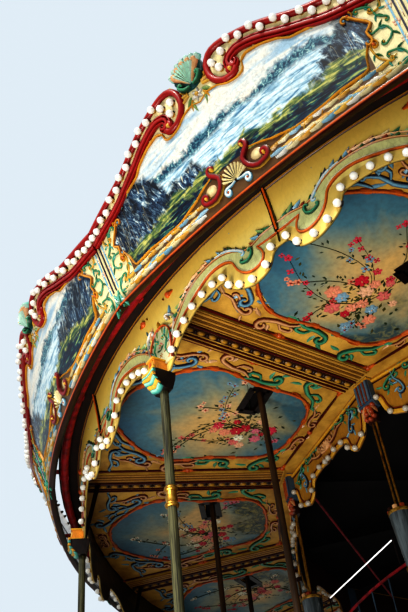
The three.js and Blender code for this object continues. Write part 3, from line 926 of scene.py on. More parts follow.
def block(carving, near, far, low, high, half_width, paint):
    """A box from near to far out, from low to high, and as wide to both sides."""
    outline = ((near, low), (far, low), (far, high), (near, high))
    extrude(carving, outline, -half_width, half_width, paint)


def ring(carving, inner, outer, low, high, paint, sides=ROUND_SIDES):
    """A ring of rectangular section about the axis."""
    turned(carving, ((inner, low), (outer, low), (outer, high), (inner, high)), paint, sides, closed=True)


def hoop(carving, radius, height, thickness, paint, sides=ROUND_SIDES, section_sides=10):
    """A round bar bent to a ring about the axis. The thickness is its own radius."""
    turns = np.arange(section_sides) * math.tau / section_sides
    section = [(radius + thickness * math.cos(turn), height + thickness * math.sin(turn)) for turn in turns]
    turned(carving, section, paint, sides, closed=True)


def extrude(carving, outline, low, high, paint):
    """A side outline of (out, up) points, anticlockwise seen from the right, carried from low to high."""
    count = len(outline)
    points = [(low, up, out) for out, up in outline] + [(high, up, out) for out, up in outline]
    faces = [tuple(range(count)), tuple(reversed(range(count, 2 * count)))]
    for corner in range(count):
        following = (corner + 1) % count
        faces.append((corner, count + corner, count + following, following))
    carving.add(points, faces, [paint] * len(points))


def offset(path, distance):
    """The path moved to its left."""
    heading = np.gradient(path, axis=0)
    heading /= np.maximum(np.linalg.norm(heading, axis=1, keepdims=True), 1e-9)
    return path + distance * np.stack([-heading[:, 1], heading[:, 0]], 1)


def along(path, spacing, start=0.0):
    """Points and headings at equal steps along a path."""
    lengths = np.concatenate([[0], np.cumsum(np.linalg.norm(np.diff(path, axis=0), axis=1))])
    marks = np.arange(start, lengths[-1], spacing)
    spots = np.stack([np.interp(marks, lengths, path[:, axis]) for axis in (0, 1)], 1)
    ahead = np.stack([np.interp(marks + 0.004, lengths, path[:, axis]) for axis in (0, 1)], 1)
    turns = ahead - spots
    angles = np.arctan2(turns[:, 1], turns[:, 0])
    return list(zip(spots, angles))


def step_from(spot, angle, forward, left=0.0):
    """The point so far forward and to the left of a spot that faces that way."""
    return (spot[0] + forward * math.cos(angle) - left * math.sin(angle),
            spot[1] + forward * math.sin(angle) + left * math.cos(angle))


def frond(carving, spot, angle, length, width, bend, paint, height=0.012, lobes=3):
    """A leaf that grows from a spot and bends to its left."""
    points = [step_from(spot, angle, length * ahead, bend * length * aside)
              for ahead, aside in ((0.0, 0.0), (0.36, 0.16), (0.70, 0.55), (0.94, 1.0))]
    leaf(carving, points, width, height, paint, lobes, step=length)


def flourish(carving, spot, angle, size, paint, side=1, boss=None):
    """A C-scroll that opens on a leafy stem: volute first, leaf last. Side 1 winds it to the left."""
    def place(forward, left):
        return step_from(spot, angle, forward * size, side * left * size)

    edge, crest = paint[1], paint[len(paint) // 2]
    stem = [place(0.30, -0.02), place(0.22, 0.012), place(0.13, 0.0), place(0.05, 0.012)]
    scroll(carving, stem, 0.038 * size, 0.018, paint, 0.0, -0.9 * side, 0.042 * size, boss, step=0.06 * size)
    branch = [place(0.15, 0.005), place(0.18, 0.055), place(0.235, 0.062)]
    scroll(carving, branch, 0.027 * size, 0.014, paint, 0.0, -0.6 * side, 0.022 * size, None,
           step=0.05 * size)
    for forward, left, turn, length in ((0.045, 0.085, 2.3, 0.075), (0.10, 0.045, 1.2, 0.07),
                                        (0.02, -0.01, -2.6, 0.08), (0.28, -0.015, -0.15, 0.10)):
        frond(carving, place(forward, left), angle + side * turn, length * size, 0.038 * size, 0.3 * side,
              (edge, crest), 0.011)


# Paints of a section run from painted shade at the edges of a moulding, scroll, rib or leaf to a painted
# highlight on its crest.
GOLD_SECTION = (BRONZE, BRONZE, GOLD, YELLOW, GOLD, BRONZE, BRONZE)
BLUE_SECTION = (BLACK, NAVY, tone(34, 48, 72), SKY_BLUE, tone(34, 48, 72), NAVY, BLACK)
RED_SECTION = (DEEP_RED, RED, RED, tone(176, 44, 34), RED, RED, DEEP_RED)
HOOK_SECTION = (BLACK, DEEP_RED, tone(120, 12, 20), RED, DEEP_RED, ORANGE, YELLOW)
GREEN_SECTION = (BLACK, DEEP_TEAL, tone(22, 82, 62), tone(88, 176, 134), tone(22, 82, 62), DEEP_TEAL, BLACK)
CLAY_SECTION = (BLACK, BROWN, tone(112, 50, 28), PEACH, tone(112, 50, 28), BROWN, BLACK)
FRAME_GOLD = (BRONZE, tone(238, 166, 50), BRONZE)
FRAME_SECTION = (BROWN, BROWN, TERRACOTTA, tone(222, 118, 50), TERRACOTTA, BROWN, BROWN)
TRIPLE_RED = (DEEP_RED, RED, tone(170, 34, 30), DEEP_RED, RED, tone(178, 42, 34), RED, DEEP_RED,
              tone(170, 34, 30), RED, DEEP_RED)
MINT_RIB = (DEEP_TEAL, TURQUOISE, MINT, TURQUOISE, DEEP_TEAL)
GOLD_RIB = (BRONZE, GOLD, YELLOW, GOLD, BRONZE)
ORANGE_LINE = (BROWN, tone(196, 90, 36), tone(236, 128, 48), tone(196, 90, 36), BROWN)
BLUE_LIGHT = (NAVY, SLATE, SKY_BLUE, WHITE, SKY_BLUE, SLATE, NAVY)
PETAL_PAINTS = (PINK, tone(214, 58, 84), tone(236, 150, 120), tone(240, 186, 150), tone(196, 40, 60), IVORY,
                tone(224, 120, 140), tone(132, 168, 190))
LEAF_PAINTS = ((tone(12, 22, 12), tone(34, 52, 26)), (tone(16, 28, 22), tone(44, 70, 44)),
               (tone(30, 30, 10), tone(84, 84, 34)))
FEATHERS = ((BROWN, GOLD), (BLACK, CREAM), (NAVY, SKY_BLUE), (BROWN, YELLOW), (BLACK, WHITE), (BROWN, CREAM))

# Rounding board, drawn for its right half: across and height
BOARD_TOP_EDGE = ((0.0, 5.600), (0.100, 5.600), (0.118, 5.675), (0.150, 5.722), (0.230, 5.734),
                  (0.335, 5.713), (0.478, 5.668), (0.598, 5.615), (0.790, 5.539), (1.194, 5.463))
BOARD_MIDDLE_FOOT = 4.805
OUTER_RED = ((1.190, 5.440), (0.790, 5.516), (0.598, 5.592), (0.478, 5.645), (0.335, 5.690), (0.230, 5.710),
             (0.165, 5.695), (0.125, 5.640), (0.120, 5.570), (0.150, 5.510), (0.200, 5.475), (0.255, 5.470))
INNER_RED = ((1.190, 5.335), (0.895, 5.378), (0.750, 5.427), (0.600, 5.490), (0.490, 5.546), (0.400, 5.580),
             (0.330, 5.592), (0.275, 5.575))
PICTURE_TOP = ((0.0, 5.478), (0.067, 5.492), (0.134, 5.480), (0.208, 5.442), (0.318, 5.448), (0.330, 5.495),
               (0.373, 5.518), (0.462, 5.505), (0.576, 5.458), (0.629, 5.418), (0.725, 5.398), (0.870, 5.356),
               (0.966, 5.336), (0.985, 5.275), (1.033, 5.215))
PICTURE_FOOT = ((0.0, 5.020), (0.120, 5.015), (0.239, 5.000), (0.294, 4.978), (0.344, 4.968),
                (0.452, 4.944), (0.569, 4.949), (0.737, 4.969), (0.916, 4.981), (0.933, 5.049),
                (0.985, 5.110), (1.033, 5.200))
PICTURE_LOW = 4.95
FRAME_TOP = ((0.0, 5.474), (0.067, 5.497), (0.134, 5.484), (0.208, 5.444), (0.290, 5.436), (0.322, 5.460),
             (0.330, 5.502), (0.373, 5.527), (0.462, 5.512), (0.576, 5.464), (0.629, 5.424), (0.725, 5.404),
             (0.870, 5.362), (0.950, 5.345))
FRAME_SIDE = ((0.938, 5.318), (0.976, 5.272), (1.033, 5.207), (0.995, 5.172), (1.005, 5.125))
FRAME_FOOT = ((0.969, 5.105), (0.938, 5.049), (0.916, 4.981), (0.842, 4.970), (0.737, 4.966), (0.655, 4.953),
              (0.569, 4.946), (0.452, 4.941), (0.344, 4.964), (0.294, 4.975), (0.239, 4.998), (0.130, 5.030))
BOARD_BULBS = ((0.131, 5.677), (0.193, 5.641), (0.251, 5.577), (0.311, 5.513), (0.372, 5.459), (0.431, 5.413),
               (0.488, 5.380), (0.105, 5.629), (0.160, 5.637), (0.215, 5.583), (0.274, 5.519), (0.335, 5.460),
               (0.400, 5.409), (0.462, 5.380), (0.072, 5.609), (0.085, 5.549))
SHELL_CENTRE = 5.690
SHELL_DROP = 0.11
SHELL_HINGE = (0.0, 5.606)
SHELL_HALF_WIDTH = 0.108
SHELL_TOP = 5.806

# Outer valance: share of the bay from its middle, and height of the bulbs
VALANCE_BULBS = ((0.025, 4.600), (0.051, 4.504), (0.100, 4.478), (0.143, 4.512), (0.179, 4.573),
                 (0.199, 4.668), (0.239, 4.686), (0.284, 4.685), (0.330, 4.668), (0.372, 4.625),
                 (0.409, 4.577), (0.440, 4.505), (0.471, 4.427))
VALANCE_LINE = ((0.0, 4.690), (0.035, 4.688), (0.060, 4.694), (0.071, 4.698), (0.060, 4.655),
                (0.056, 4.610), (0.064, 4.570), (0.084, 4.552), (0.108, 4.560), (0.130, 4.595),
                (0.148, 4.650), (0.158, 4.712), (0.168, 4.748), (0.190, 4.775), (0.222, 4.789),
                (0.256, 4.786), (0.300, 4.762), (0.340, 4.732), (0.380, 4.686), (0.412, 4.634),
                (0.440, 4.564), (0.465, 4.492))
VALANCE_HOOKS = (0.060, 0.064, 0.071)
VALANCE_CREST = ((0.0, 4.756), (0.050, 4.756), (0.085, 4.738), (0.118, 4.748), (0.150, 4.800),
                 (0.190, 4.838), (0.240, 4.852), (0.300, 4.842), (0.350, 4.806), (0.390, 4.755),
                 (0.425, 4.690), (0.455, 4.610), (0.475, 4.555))
INNER_BULBS = ((0.020, 4.690), (0.055, 4.700), (0.095, 4.704), (0.140, 4.700), (0.180, 4.692), (0.215, 4.668),
               (0.232, 4.600), (0.262, 4.552), (0.300, 4.535), (0.345, 4.556), (0.385, 4.580), (0.415, 4.640),
               (0.440, 4.746))


def board_foot(across):
    return BOARD_MIDDLE_FOOT + (BOARD_FOOT - BOARD_MIDDLE_FOOT) * (2 * across / BOARD_WIDTH) ** 2


def mirrored_columns(half):
    """Columns given from the middle to the right, as columns from left to right."""
    return [(-across, bottom, top) for across, bottom, top in reversed(half[1:])] + list(half)


def ground_paint(across, up, share):
    """Cream ground, bronze behind the feathers of the foot and green towards the joint."""
    low = min(1.0, max(0.0, (4.945 - up) / 0.05))
    dark, amount = (tone(104, 66, 34), 0.9) if abs(across) < 0.96 else (PALE_GREEN, 0.6)
    return tuple(light * (1 - amount * low) + deep * amount * low for light, deep in zip(CREAM, dark))


def board_body():
    """The sheet of a board, its foot edge brown as painted shade, and the sheet of the shell on its top edge.
    """
    places = sorted({across for across, _ in BOARD_TOP_EDGE} | set(np.round(np.arange(0.06, 1.19, 0.06), 3)))
    half = [(across, board_foot(across), between(BOARD_TOP_EDGE, across)) for across in places]
    carving = Carving()
    rows = 6
    slab(carving, mirrored_columns(half), rows, BOARD_SHEET, ground_paint, WHITE)
    # Painted shade: the bottom row of both faces turns brown, so the board's under edge reads dark.
    back = len(carving.points) // 2
    for low in range(0, back, rows + 1):
        carving.paint[low] = carving.paint[back + low] = BROWN
    rise = SHELL_TOP - SHELL_CENTRE
    shell = []
    for across in np.linspace(0, SHELL_HALF_WIDTH, 9):
        arch = math.sqrt(max(0.0, 1 - (across / SHELL_HALF_WIDTH) ** 2))
        shell.append((across, SHELL_CENTRE - SHELL_DROP * arch, SHELL_CENTRE + rise * arch + CLEAR))
    start = len(carving.points)
    slab(carving, mirrored_columns(shell), 3, BOARD_SHEET * 2, DEEP_TEAL, DEEP_TEAL)
    carving.lift(BOARD_SHEET / 2, start)
    return carving


def board_mouldings(sizes):
    """The two red mouldings of a board, the gold frame of its picture, its hooks and its foot line."""
    carving = Carving()
    red_outer = smooth(OUTER_RED, 0.05)
    red_outer, volute = curl(red_outer, 0.036, 0.9)
    sweep(carving, red_outer, HALF_ROUND, sizes.outer_moulding, 0.026, RED_SECTION)
    red_inner = smooth(INNER_RED, 0.055)
    red_inner, _ = curl(red_inner, 0.045, 0.75)
    taper = np.minimum(1, 0.35 + np.linspace(1, 0, len(red_inner)) * 4)
    sweep(carving, red_inner, TRIPLE, sizes.inner_moulding * taper, 0.03, TRIPLE_RED)
    dome(carving, volute, 0.022, 0.034, (BRONZE, YELLOW))
    scroll(carving, FRAME_TOP, 0.020, 0.018, FRAME_GOLD, end=-0.8, radius=0.03, boss=(BRONZE, ORANGE))
    scroll(carving, FRAME_SIDE, 0.022, 0.018, FRAME_GOLD, start=0.7, end=-0.7, radius=0.026,
           boss=(NAVY, SKY_BLUE))
    scroll(carving, FRAME_FOOT, 0.020, 0.018, FRAME_GOLD, start=-0.9, radius=0.034, boss=(BRONZE, ORANGE))
    scroll(carving, ((0.140, 5.032), (0.092, 4.985), (0.110, 4.925), (0.167, 4.888), (0.232, 4.898)), 0.04,
           0.028, HOOK_SECTION, start=0.6, end=0.85, radius=0.034, boss=(GOLD, YELLOW))
    scroll(carving, ((0.008, 4.905), (0.040, 4.898), (0.076, 4.895)), 0.024, 0.02, BLUE_LIGHT, end=-1.1,
           radius=0.024, boss=(BRONZE, ORANGE))
    foot = np.array([(across, board_foot(across) + 0.012) for across in np.linspace(0, 1.192, 16)])
    sweep(carving, foot, LOW_ROUND, 0.024, 0.014, (BLACK, BROWN, ORANGE, DEEP_RED, BLACK))
    carving.mirror()
    return carving


def board_ornament():
    """Leaves, shells and flowers of one board, over a dark band along its foot."""
    carving = Carving()
    band = [(across, board_foot(across) + 0.010, between(PICTURE_FOOT, across) + CLEAR)
            for across in np.linspace(0.0, 0.955, 15)]
    slab(carving, band, 1, 0.005, tone(98, 70, 38), BROWN)
    carving.lift(0.003)
    for index in range(10):
        across = 0.22 + index * 0.078
        for row, (rise, heading) in enumerate(((0.122, -0.30), (0.080, 0.14), (0.054, -0.12))):
            frond(carving, (across + 0.026 * row, board_foot(across) + rise), heading, 0.156, 0.045,
                  (0.42, -0.30, 0.34)[row],
                  FEATHERS[(index + 2 * row) % len(FEATHERS)], 0.014 + 0.003 * row)
    for index, (spot, angle) in enumerate(along(smooth(FRAME_FOOT[2:10], 0.03), 0.120, 0.04)):
        frond(carving, spot, angle + 0.45, 0.06, 0.024, 0.3, FEATHERS[index % 2 * 3], 0.012)
    for index, (spot, angle) in enumerate(along(smooth(FRAME_TOP[7:], 0.03), 0.075, 0.03)):
        paint = (GREEN, PALE_GREEN) if index % 2 else (BRONZE, CREAM)
        frond(carving, spot, angle + 0.8, 0.055, 0.022, -0.35, paint, 0.009)
    greenery = (
        (((1.000, 5.330), (1.060, 5.300), (1.075, 5.235), (1.120, 5.200)), 0.8, -0.7, GREEN_SECTION),
        (((1.020, 5.150), (1.085, 5.160), (1.110, 5.100), (1.060, 5.060)), -0.7, -0.8, GREEN_SECTION),
        (((1.050, 5.010), (1.110, 4.990), (1.130, 4.930), (1.080, 4.900)), 0.7, -0.8, GREEN_SECTION),
        (((0.470, 5.545), (0.540, 5.515), (0.620, 5.470)), -0.6, 0.5, GREEN_SECTION),
        (((0.700, 5.430), (0.800, 5.392), (0.900, 5.372)), -0.6, 0.5, GREEN_SECTION),
        (((0.975, 5.080), (0.990, 5.010), (1.035, 4.960)), -0.8, 0.8, GOLD_SECTION),
        (((1.060, 5.260), (1.110, 5.270), (1.120, 5.330)), -0.8, 0.7, GOLD_SECTION),
    )
    for points, start, end, paint in greenery:
        scroll(carving, points, 0.016, 0.012, paint, start, end, 0.018, (BRONZE, YELLOW), step=0.03)
        for spot, angle in along(smooth(points, 0.03), 0.09, 0.04):
            frond(carving, spot, angle + 0.9, 0.05, 0.022, -0.3, (DEEP_TEAL, GREEN), 0.010)
            frond(carving, spot, angle - 0.9, 0.045, 0.020, 0.3, (DEEP_TEAL, TURQUOISE), 0.010)
    dome(carving, (0.178, 4.958), (0.052, 0.040), 0.008, (BRONZE, CREAM), sides=12)
    for across, paint in ((1.150, SKY_BLUE), (1.178, NAVY)):
        sweep(carving, [(across, 4.975), (across, 5.305)], FILLET, 0.012, 0.006, paint)
    for up, petal in ((5.035, PEACH), (5.140, ORANGE), (5.250, PEACH)):
        bloom(carving, (1.150, up), 0.026, (petal, IVORY), (BRONZE, YELLOW), turn=up)
    for index in range(5):
        frond(carving, (1.165, 4.965 - 0.018 * index), -1.2 - 0.3 * index, 0.085, 0.035, 0.3,
              (DEEP_TEAL, GREEN) if index % 2 else (GREEN, TURQUOISE), 0.012)
    for index in range(3):
        frond(carving, (0.045, 5.545 - 0.02 * index), -0.5 - 0.45 * index, 0.075, 0.034, -0.3,
              (BRONZE, GOLD) if index % 2 else (GREEN, PALE_GREEN), 0.014)
    for index in range(4):
        frond(carving, (0.055, 5.600 - 0.01 * index), 1.5 - 0.5 * index, 0.07, 0.03, -0.4, (BRONZE, YELLOW),
              0.016)
    carving.mirror()
    # A black disc under the foot shell shows between its ribs as painted shade.
    dome(carving, (0.0, 4.945), (0.088, 0.062), 0.010, BLACK, sides=12)
    fan(carving, (0.0, 4.905), 0.098, 1.2, 10, 0.024, CREAM, BRONZE, fill=0.62)
    fan(carving, SHELL_HINGE, 0.178, 0.66, 7, 0.045, tone(200, 236, 220), TURQUOISE)
    fan(carving, SHELL_HINGE, 0.150, 0.62, 5, 0.058, PEACH, TERRACOTTA)
    fan(carving, SHELL_HINGE, 0.128, 0.60, 9, 0.068, tone(200, 236, 220), tone(96, 190, 184))
    for side in (-1, 1):
        scroll(carving, ((side * 0.012, 5.598), (side * 0.050, 5.600), (side * 0.078, 5.622)), 0.03, 0.05,
               GREEN_SECTION, end=side * 0.7, radius=0.018, boss=None, step=0.02)
    for turn in range(6):
        frond(carving, (0.0, 5.535), turn * math.tau / 6, 0.05, 0.030, 0.2, (BROWN, WHITE), 0.014)
    dome(carving, (0.0, 5.535), 0.018, 0.022, (BRONZE, YELLOW), sides=8)
    return carving


def board_picture():
    """The painted sheet inside the frame."""
    knots = {across for across, _ in PICTURE_TOP + PICTURE_FOOT}
    places = sorted(knots | set(np.arange(0.05, 1.03, 0.05).round(3)))
    half = [(across, between(PICTURE_FOOT, across), between(PICTURE_TOP, across)) for across in places]
    carving = Carving()
    slab(carving, mirrored_columns(half), 5, 0.007, CREAM, CREAM)
    carving.lift(0.004)
    return carving


def on_back(points):
    """The hidden side of a board, drawn as seen from behind."""
    across, up, out = np.asarray(points, float).T
    return on_board(np.stack([-across, up, -BOARD_SHEET - out], 1))


def board_back():
    """The white back of a board: a navy line, a dark foot, end battens, and the ends of the lamp holders."""
    carving = Carving()
    middle = [(across, 5.17 + 0.10 * math.cos(across * 1.2)) for across in np.linspace(-1.14, 1.14, 15)]
    sweep(carving, middle, RIDGE, 0.030, 0.006, NAVY)
    foot = [(across, board_foot(across) + 0.020) for across in np.linspace(-1.19, 1.19, 15)]
    sweep(carving, foot, FILLET, 0.036, 0.020, BLACK)
    for across in (-1.165, 1.165):
        sweep(carving, [(across, 4.90), (across, 5.17), (across, 5.44)], FILLET, 0.045, 0.024, WHITE)
    for across, up in mirrored_spots(BOARD_BULBS, BOARD_WIDTH):
        dome(carving, (across, up), 0.015, 0.030, BLACK, sides=6)
    return carving


def bulbs_on(spots, radius, socket, out):
    """Bulbs in brass sockets at the given spots, each on a black plate that is its painted shadow, standing
    off a surface.
    """
    carving = Carving()
    for spot in spots:
        carving.current = 0
        ball(carving, (spot[0], spot[1], out), radius, WHITE)
        carving.current = 1
        cup(carving, spot, socket * 0.75, socket, -SINK, out - radius * 0.55, GOLD)
        # The plate sits a little above the bulb's middle, as its painted shadow.
        carving.current = 2
        dome(carving, (spot[0], spot[1] + 0.010), radius * 1.2, 0.008, BLACK, sides=7, rings=1)
    return carving


def spread(points, width):
    """Points given by their share of a bay's width, as distances."""
    return [(share * width, height) for share, height in points]


def mirrored_spots(half, width):
    spots = spread(half, width)
    return spots + [(-across, height) for across, height in spots]


# Settings that a user may change


def length(name, description, default):
    return FloatProperty(name=name, description=description, default=default, min=0.001, unit="LENGTH")


def paint_choice(name, description, default):
    return FloatVectorProperty(name=name, description=description, default=default, size=3, min=0, max=1,
                               subtype="COLOR")


class StageSettings(bpy.types.PropertyGroup):
    floor_size: length("Floor", "Width of the pale floor", 120.0)
    floor_colour: paint_choice("Floor colour", "Colour of the floor", tone(156, 154, 149))
    sky_colour: paint_choice("Backdrop colour", "Colour of the backdrop and its soft light",
                             tone(194, 203, 210))
    sky_strength: FloatProperty(name="Backdrop light", description="Strength of the soft light",
                                default=1.0, min=0)
    low_sky: FloatProperty(name="Low backdrop", description="Share of the light near the floor",
                           default=0.16, min=0)
    sun_strength: FloatProperty(name="Key light", description="Strength of the key light", default=2.3, min=0)
    fill_strength: FloatProperty(name="Fill light", description="Power of the soft light before the ride",
                                 default=28.0, min=0, unit="POWER")
    lens: FloatProperty(name="Lens", description="Focal length of the camera", default=45.2, min=1,
                        unit="CAMERA")


class CrownSizes(bpy.types.PropertyGroup):
    outer_moulding: length("Outer moulding", "Width of the red moulding along the top edge", 0.044)
    inner_moulding: length("Inner moulding", "Width of the ribbed red moulding under the lamps", 0.063)


class LampSizes(bpy.types.PropertyGroup):
    radius: length("Bulb", "Radius of a bulb", 0.0245)
    socket: length("Socket", "Radius of a lamp socket", 0.019)
    stand_off: length("Stand-off", "Distance of a bulb's middle from the surface", 0.024)
    crown_stand_off: length("Crown stand-off", "The same distance on the rounding boards", 0.034)


# Operators


def camera_matrix():
    """The photograph's view: an eye 1.5 m up, turned a little, tilted up and rolled."""
    yaw, pitch, roll = CAMERA_TURN
    ahead = Vector((math.sin(yaw) * math.cos(pitch), math.cos(yaw) * math.cos(pitch), math.sin(pitch)))
    level = Vector((math.cos(yaw), -math.sin(yaw), 0.0))
    above = level.cross(ahead)
    right = math.cos(roll) * level + math.sin(roll) * above
    up = math.cos(roll) * above - math.sin(roll) * level
    turned_to = Matrix((right, up, -ahead)).transposed().to_4x4()
    return Matrix.Translation(CAMERA_SPOT) @ turned_to


def add_light(scene, name, kind, energy, colour, matrix):
    lamp = bpy.data.objects.new(name, bpy.data.lights.new(name, kind))
    lamp.data.energy = energy
    lamp.data.color = colour
    lamp.matrix_world = matrix
    scene.collection.objects.link(lamp)
    return lamp


def facing(direction):
    """The matrix of a light whose back looks in that direction."""
    return Vector(direction).to_track_quat("Z", "Y").to_matrix().to_4x4()


def add_lights(scene, stage):
    """A soft key light from behind the camera, and a soft fill from below."""
    sun = add_light(scene, "key_light", "SUN", stage.sun_strength, (1.0, 0.97, 0.9), facing(KEY_DIRECTION))
    sun.data.angle = math.radians(12)
    away = Vector(FILL_SPOT) - Vector(FILL_TARGET)
    fill = add_light(scene, "fill_light", "AREA", stage.fill_strength, (1.0, 0.95, 0.86),
                     Matrix.Translation(FILL_SPOT) @ facing(away))
    fill.data.size = 2.0
    fill.data.spread = math.radians(64)
    fill.visible_camera = False


def add_floor(scene, stage):
    half = stage.floor_size / 2
    carving = Carving()
    corners = [(-half, -half, 0), (half, -half, 0), (half, half, 0), (-half, half, 0)]
    carving.add(corners, [(0, 1, 2, 3)], [WHITE] * 4)
    finish = Finish("floor", 0.85)
    finish.colour(tuple(stage.floor_colour))
    floor = bpy.data.objects.new("floor", build_mesh("floor", carving, as_drawn, [finish.material]))
    scene.collection.objects.link(floor)


def set_backdrop(scene, stage):
    """A plain backdrop that is darker near the floor."""
    world = scene.world or bpy.data.worlds.new("backdrop")
    scene.world = world
    world.use_nodes = True
    nodes, links = world.node_tree.nodes, world.node_tree.links
    way = nodes.new("ShaderNodeTexCoord")
    height = nodes.new("ShaderNodeSeparateXYZ")
    fade = nodes.new("ShaderNodeValToRGB")
    low, high = fade.color_ramp.elements
    low.position, high.position = 0.02, 0.34
    low.color = (*(step * stage.low_sky for step in stage.sky_colour), 1.0)
    high.color = (*stage.sky_colour, 1.0)
    links.new(way.outputs["Generated"], height.inputs[0])
    links.new(height.outputs["Z"], fade.inputs[0])
    background = nodes["Background"]
    links.new(fade.outputs[0], background.inputs["Color"])
    background.inputs["Strength"].default_value = stage.sky_strength


class CAROUSEL_OT_stage(bpy.types.Operator):
    """Sets the camera, the pale floor and the soft studio light."""
    bl_idname = "carousel.stage"
    bl_label = "Stage"

    def execute(self, context):
        stage = context.scene.carousel_stage
        camera = bpy.data.objects.new("camera", bpy.data.cameras.new("camera"))
        camera.data.lens = stage.lens
        camera.matrix_world = camera_matrix()
        context.scene.collection.objects.link(camera)
        context.scene.camera = camera
        add_floor(context.scene, stage)
        set_backdrop(context.scene, stage)
        add_lights(context.scene, stage)
        context.scene.view_settings.view_transform = "Standard"
        context.scene.view_settings.look = "High Contrast"
        return {"FINISHED"}


class CAROUSEL_OT_rounding_boards(bpy.types.Operator):
    """Adds the painted boards of the crown with their mouldings, carving, pictures and battens."""
    bl_idname = "carousel.rounding_boards"
    bl_label = "Rounding boards"

    def execute(self, context):
        sizes = context.scene.carousel_crown
        every_bay("board_body", board_body(), on_board, ["ground_enamel"], HALF_BAY,
                  node="rounding_board")
        for name, carving, surface, slot in (
                ("board_mouldings", board_mouldings(sizes), on_board, "dark_red_paint"),
                ("board_ornament", board_ornament(), on_board, "gilding"),
                ("board_battens", board_back(), on_back, "timber")):
            every_bay(name, carving, surface, CARVED, HALF_BAY)
        panel = board_picture()
        flat = np.array(panel.points)
        for bay in range(BAYS):
            side = -2 if bay % 2 else 2
            places = np.stack([flat[:, 0] * side, (flat[:, 1] - PICTURE_LOW) * 2], 1)
            painted_panel(f"board_picture_{bay + 1:02d}", panel, on_board, "landscape", places, bay)
        return {"FINISHED"}


class CAROUSEL_OT_bulbs(bpy.types.Operator):
    """Adds the bulbs of the crown and of both valances."""
    bl_idname = "carousel.bulbs"
    bl_label = "Bulbs"

    def execute(self, context):
        lamps = context.scene.carousel_lamps
        rows = (
            ("crown_bulbs", BOARD_BULBS, BOARD_WIDTH, on_board, lamps.crown_stand_off, "bulb_glass"),
            ("valance_bulbs", VALANCE_BULBS[:-1], VALANCE_WIDTH, on_valance, lamps.stand_off, "bulb_glass"),
            ("inner_bulbs", INNER_BULBS[::2], CHORD_WIDTH, on_chord, lamps.stand_off, "shaded_bulb_glass"))
        for name, half, width, surface, out, glass in rows:
            bulbs = bulbs_on(mirrored_spots(half, width), lamps.radius, lamps.socket, out)
            # The third finish is for the black plates of painted shadow under the bulbs.
            every_bay(name, bulbs, surface, [glass, "brass", "black_paint_and_painted_shade"], HALF_BAY)
        return {"FINISHED"}


# Rim, cornice and outer valance


def rim_pieces():
    """The soffit plate behind the boards, black as painted shade, and its round red tube with the brackets.
    """
    plate = Carving()
    turned(plate, ((4.800, 4.9906), (4.820, 4.9906), (4.820, 5.0303), (5.110, 5.0303), (5.110, 5.0503),
                   (4.800, 5.0503)), BLACK, ROUND_SIDES, closed=True)
    tube = Carving()
    hoop(tube, 5.060, 5.000, 0.034, RED)
    brackets = Carving()
    for place in range(2 * BAYS):
        start = len(brackets.points)
        for near, far, low, high in ((4.955, 5.215, 5.0310, 5.0490), (5.025, 5.095, 4.990, 5.036)):
            block(brackets, near, far, low, high, 0.022, RED)
        for reach in (5.091, 5.029):
            block(brackets, reach - 0.004, reach + 0.004, 4.975, 5.029, 0.025, DEEP_RED)
        brackets.swing(place * BAY_ANGLE / 2, start)
    return plate, tube, brackets


def cornice_ring():
    """The leaning sheet of the cornice, paler towards its foot and darker under the rim as painted shade."""
    carving = Carving()
    foot, top = CORNICE_FOOT + 0.0005, CORNICE_TOP
    reach = CORNICE_LEAN * (CORNICE_TOP - CORNICE_FOOT)
    front = [(VALANCE_RADIUS + reach * share, height)
             for share, height in ((0, foot), (0.5, (foot + top) / 2), (1, top))]
    back = [(radius - VALANCE_SHEET, height) for radius, height in front]
    # Front colours darken towards the top as painted shade under the rim; the back is black as painted shade.
    turned(carving, [back[0], *front, back[2], back[1]],
           (BLACK, tone(238, 218, 132), tone(226, 196, 102), tone(206, 168, 80), BLACK, BLACK), ROUND_SIDES,
           closed=True)
    return carving


def cornice_trim():
    """The orange joint strip of a bay, and the small moulding under the rim."""
    carving = Carving()
    sweep(carving, [(0.0, 4.700), (0.0, 4.85), (0.0, 4.94), (0.0, 5.024)], FILLET, 0.030, 0.016, BLACK)
    sweep(carving, [(0.004, 4.704), (0.004, 4.85), (0.004, 4.94), (0.004, 5.024)], FILLET, 0.014, 0.021,
          ORANGE)
    sweep(carving, [(0.0, 4.612), (0.0, 4.66), (0.0, 4.700)], FILLET, 0.007, 0.013, BLACK)
    line = [(across, 5.020) for across in np.linspace(-VALANCE_WIDTH / 2, VALANCE_WIDTH / 2, 25)]
    sweep(carving, line, HALF_ROUND, 0.018, 0.010, (BROWN, BROWN, BRONZE, GOLD, BRONZE, BROWN, BROWN))
    return carving


def wave_path(half, width, step):
    """The row of bulbs as one line, from the left end of the bay to its right end."""
    right = spread(half, width)
    ends = [(width / 2, right[-1][1] - 0.012)]
    left = [(-across, height) for across, height in reversed(right + ends)]
    middle = [(0.0, right[0][1] + 0.014)]
    return smooth(left + middle + right + ends, step)


def wave_sheet(carving, bulbs, width, top, margin, paint, back):
    """A sheet that ends in a scalloped edge, a margin below its bulbs."""
    path = wave_path(bulbs, width, 0.03)
    columns = []
    for across, height in path:
        if not columns or across > columns[-1][0] + 0.004:
            columns.append((across, height - margin, top))
    columns[0] = (-width / 2 + CLEAR, columns[0][1], top)
    columns[-1] = (width / 2 - CLEAR, columns[-1][1], top)
    slab(carving, columns, 1, VALANCE_SHEET, paint, back)


def outer_valance():
    """The scalloped sheet under the cornice."""
    carving = Carving()
    # The sheet's back is black, as painted shade inside the crown.
    wave_sheet(carving, VALANCE_BULBS, VALANCE_WIDTH, CORNICE_FOOT, 0.016, tone(232, 200, 108), BLACK)
    return carving


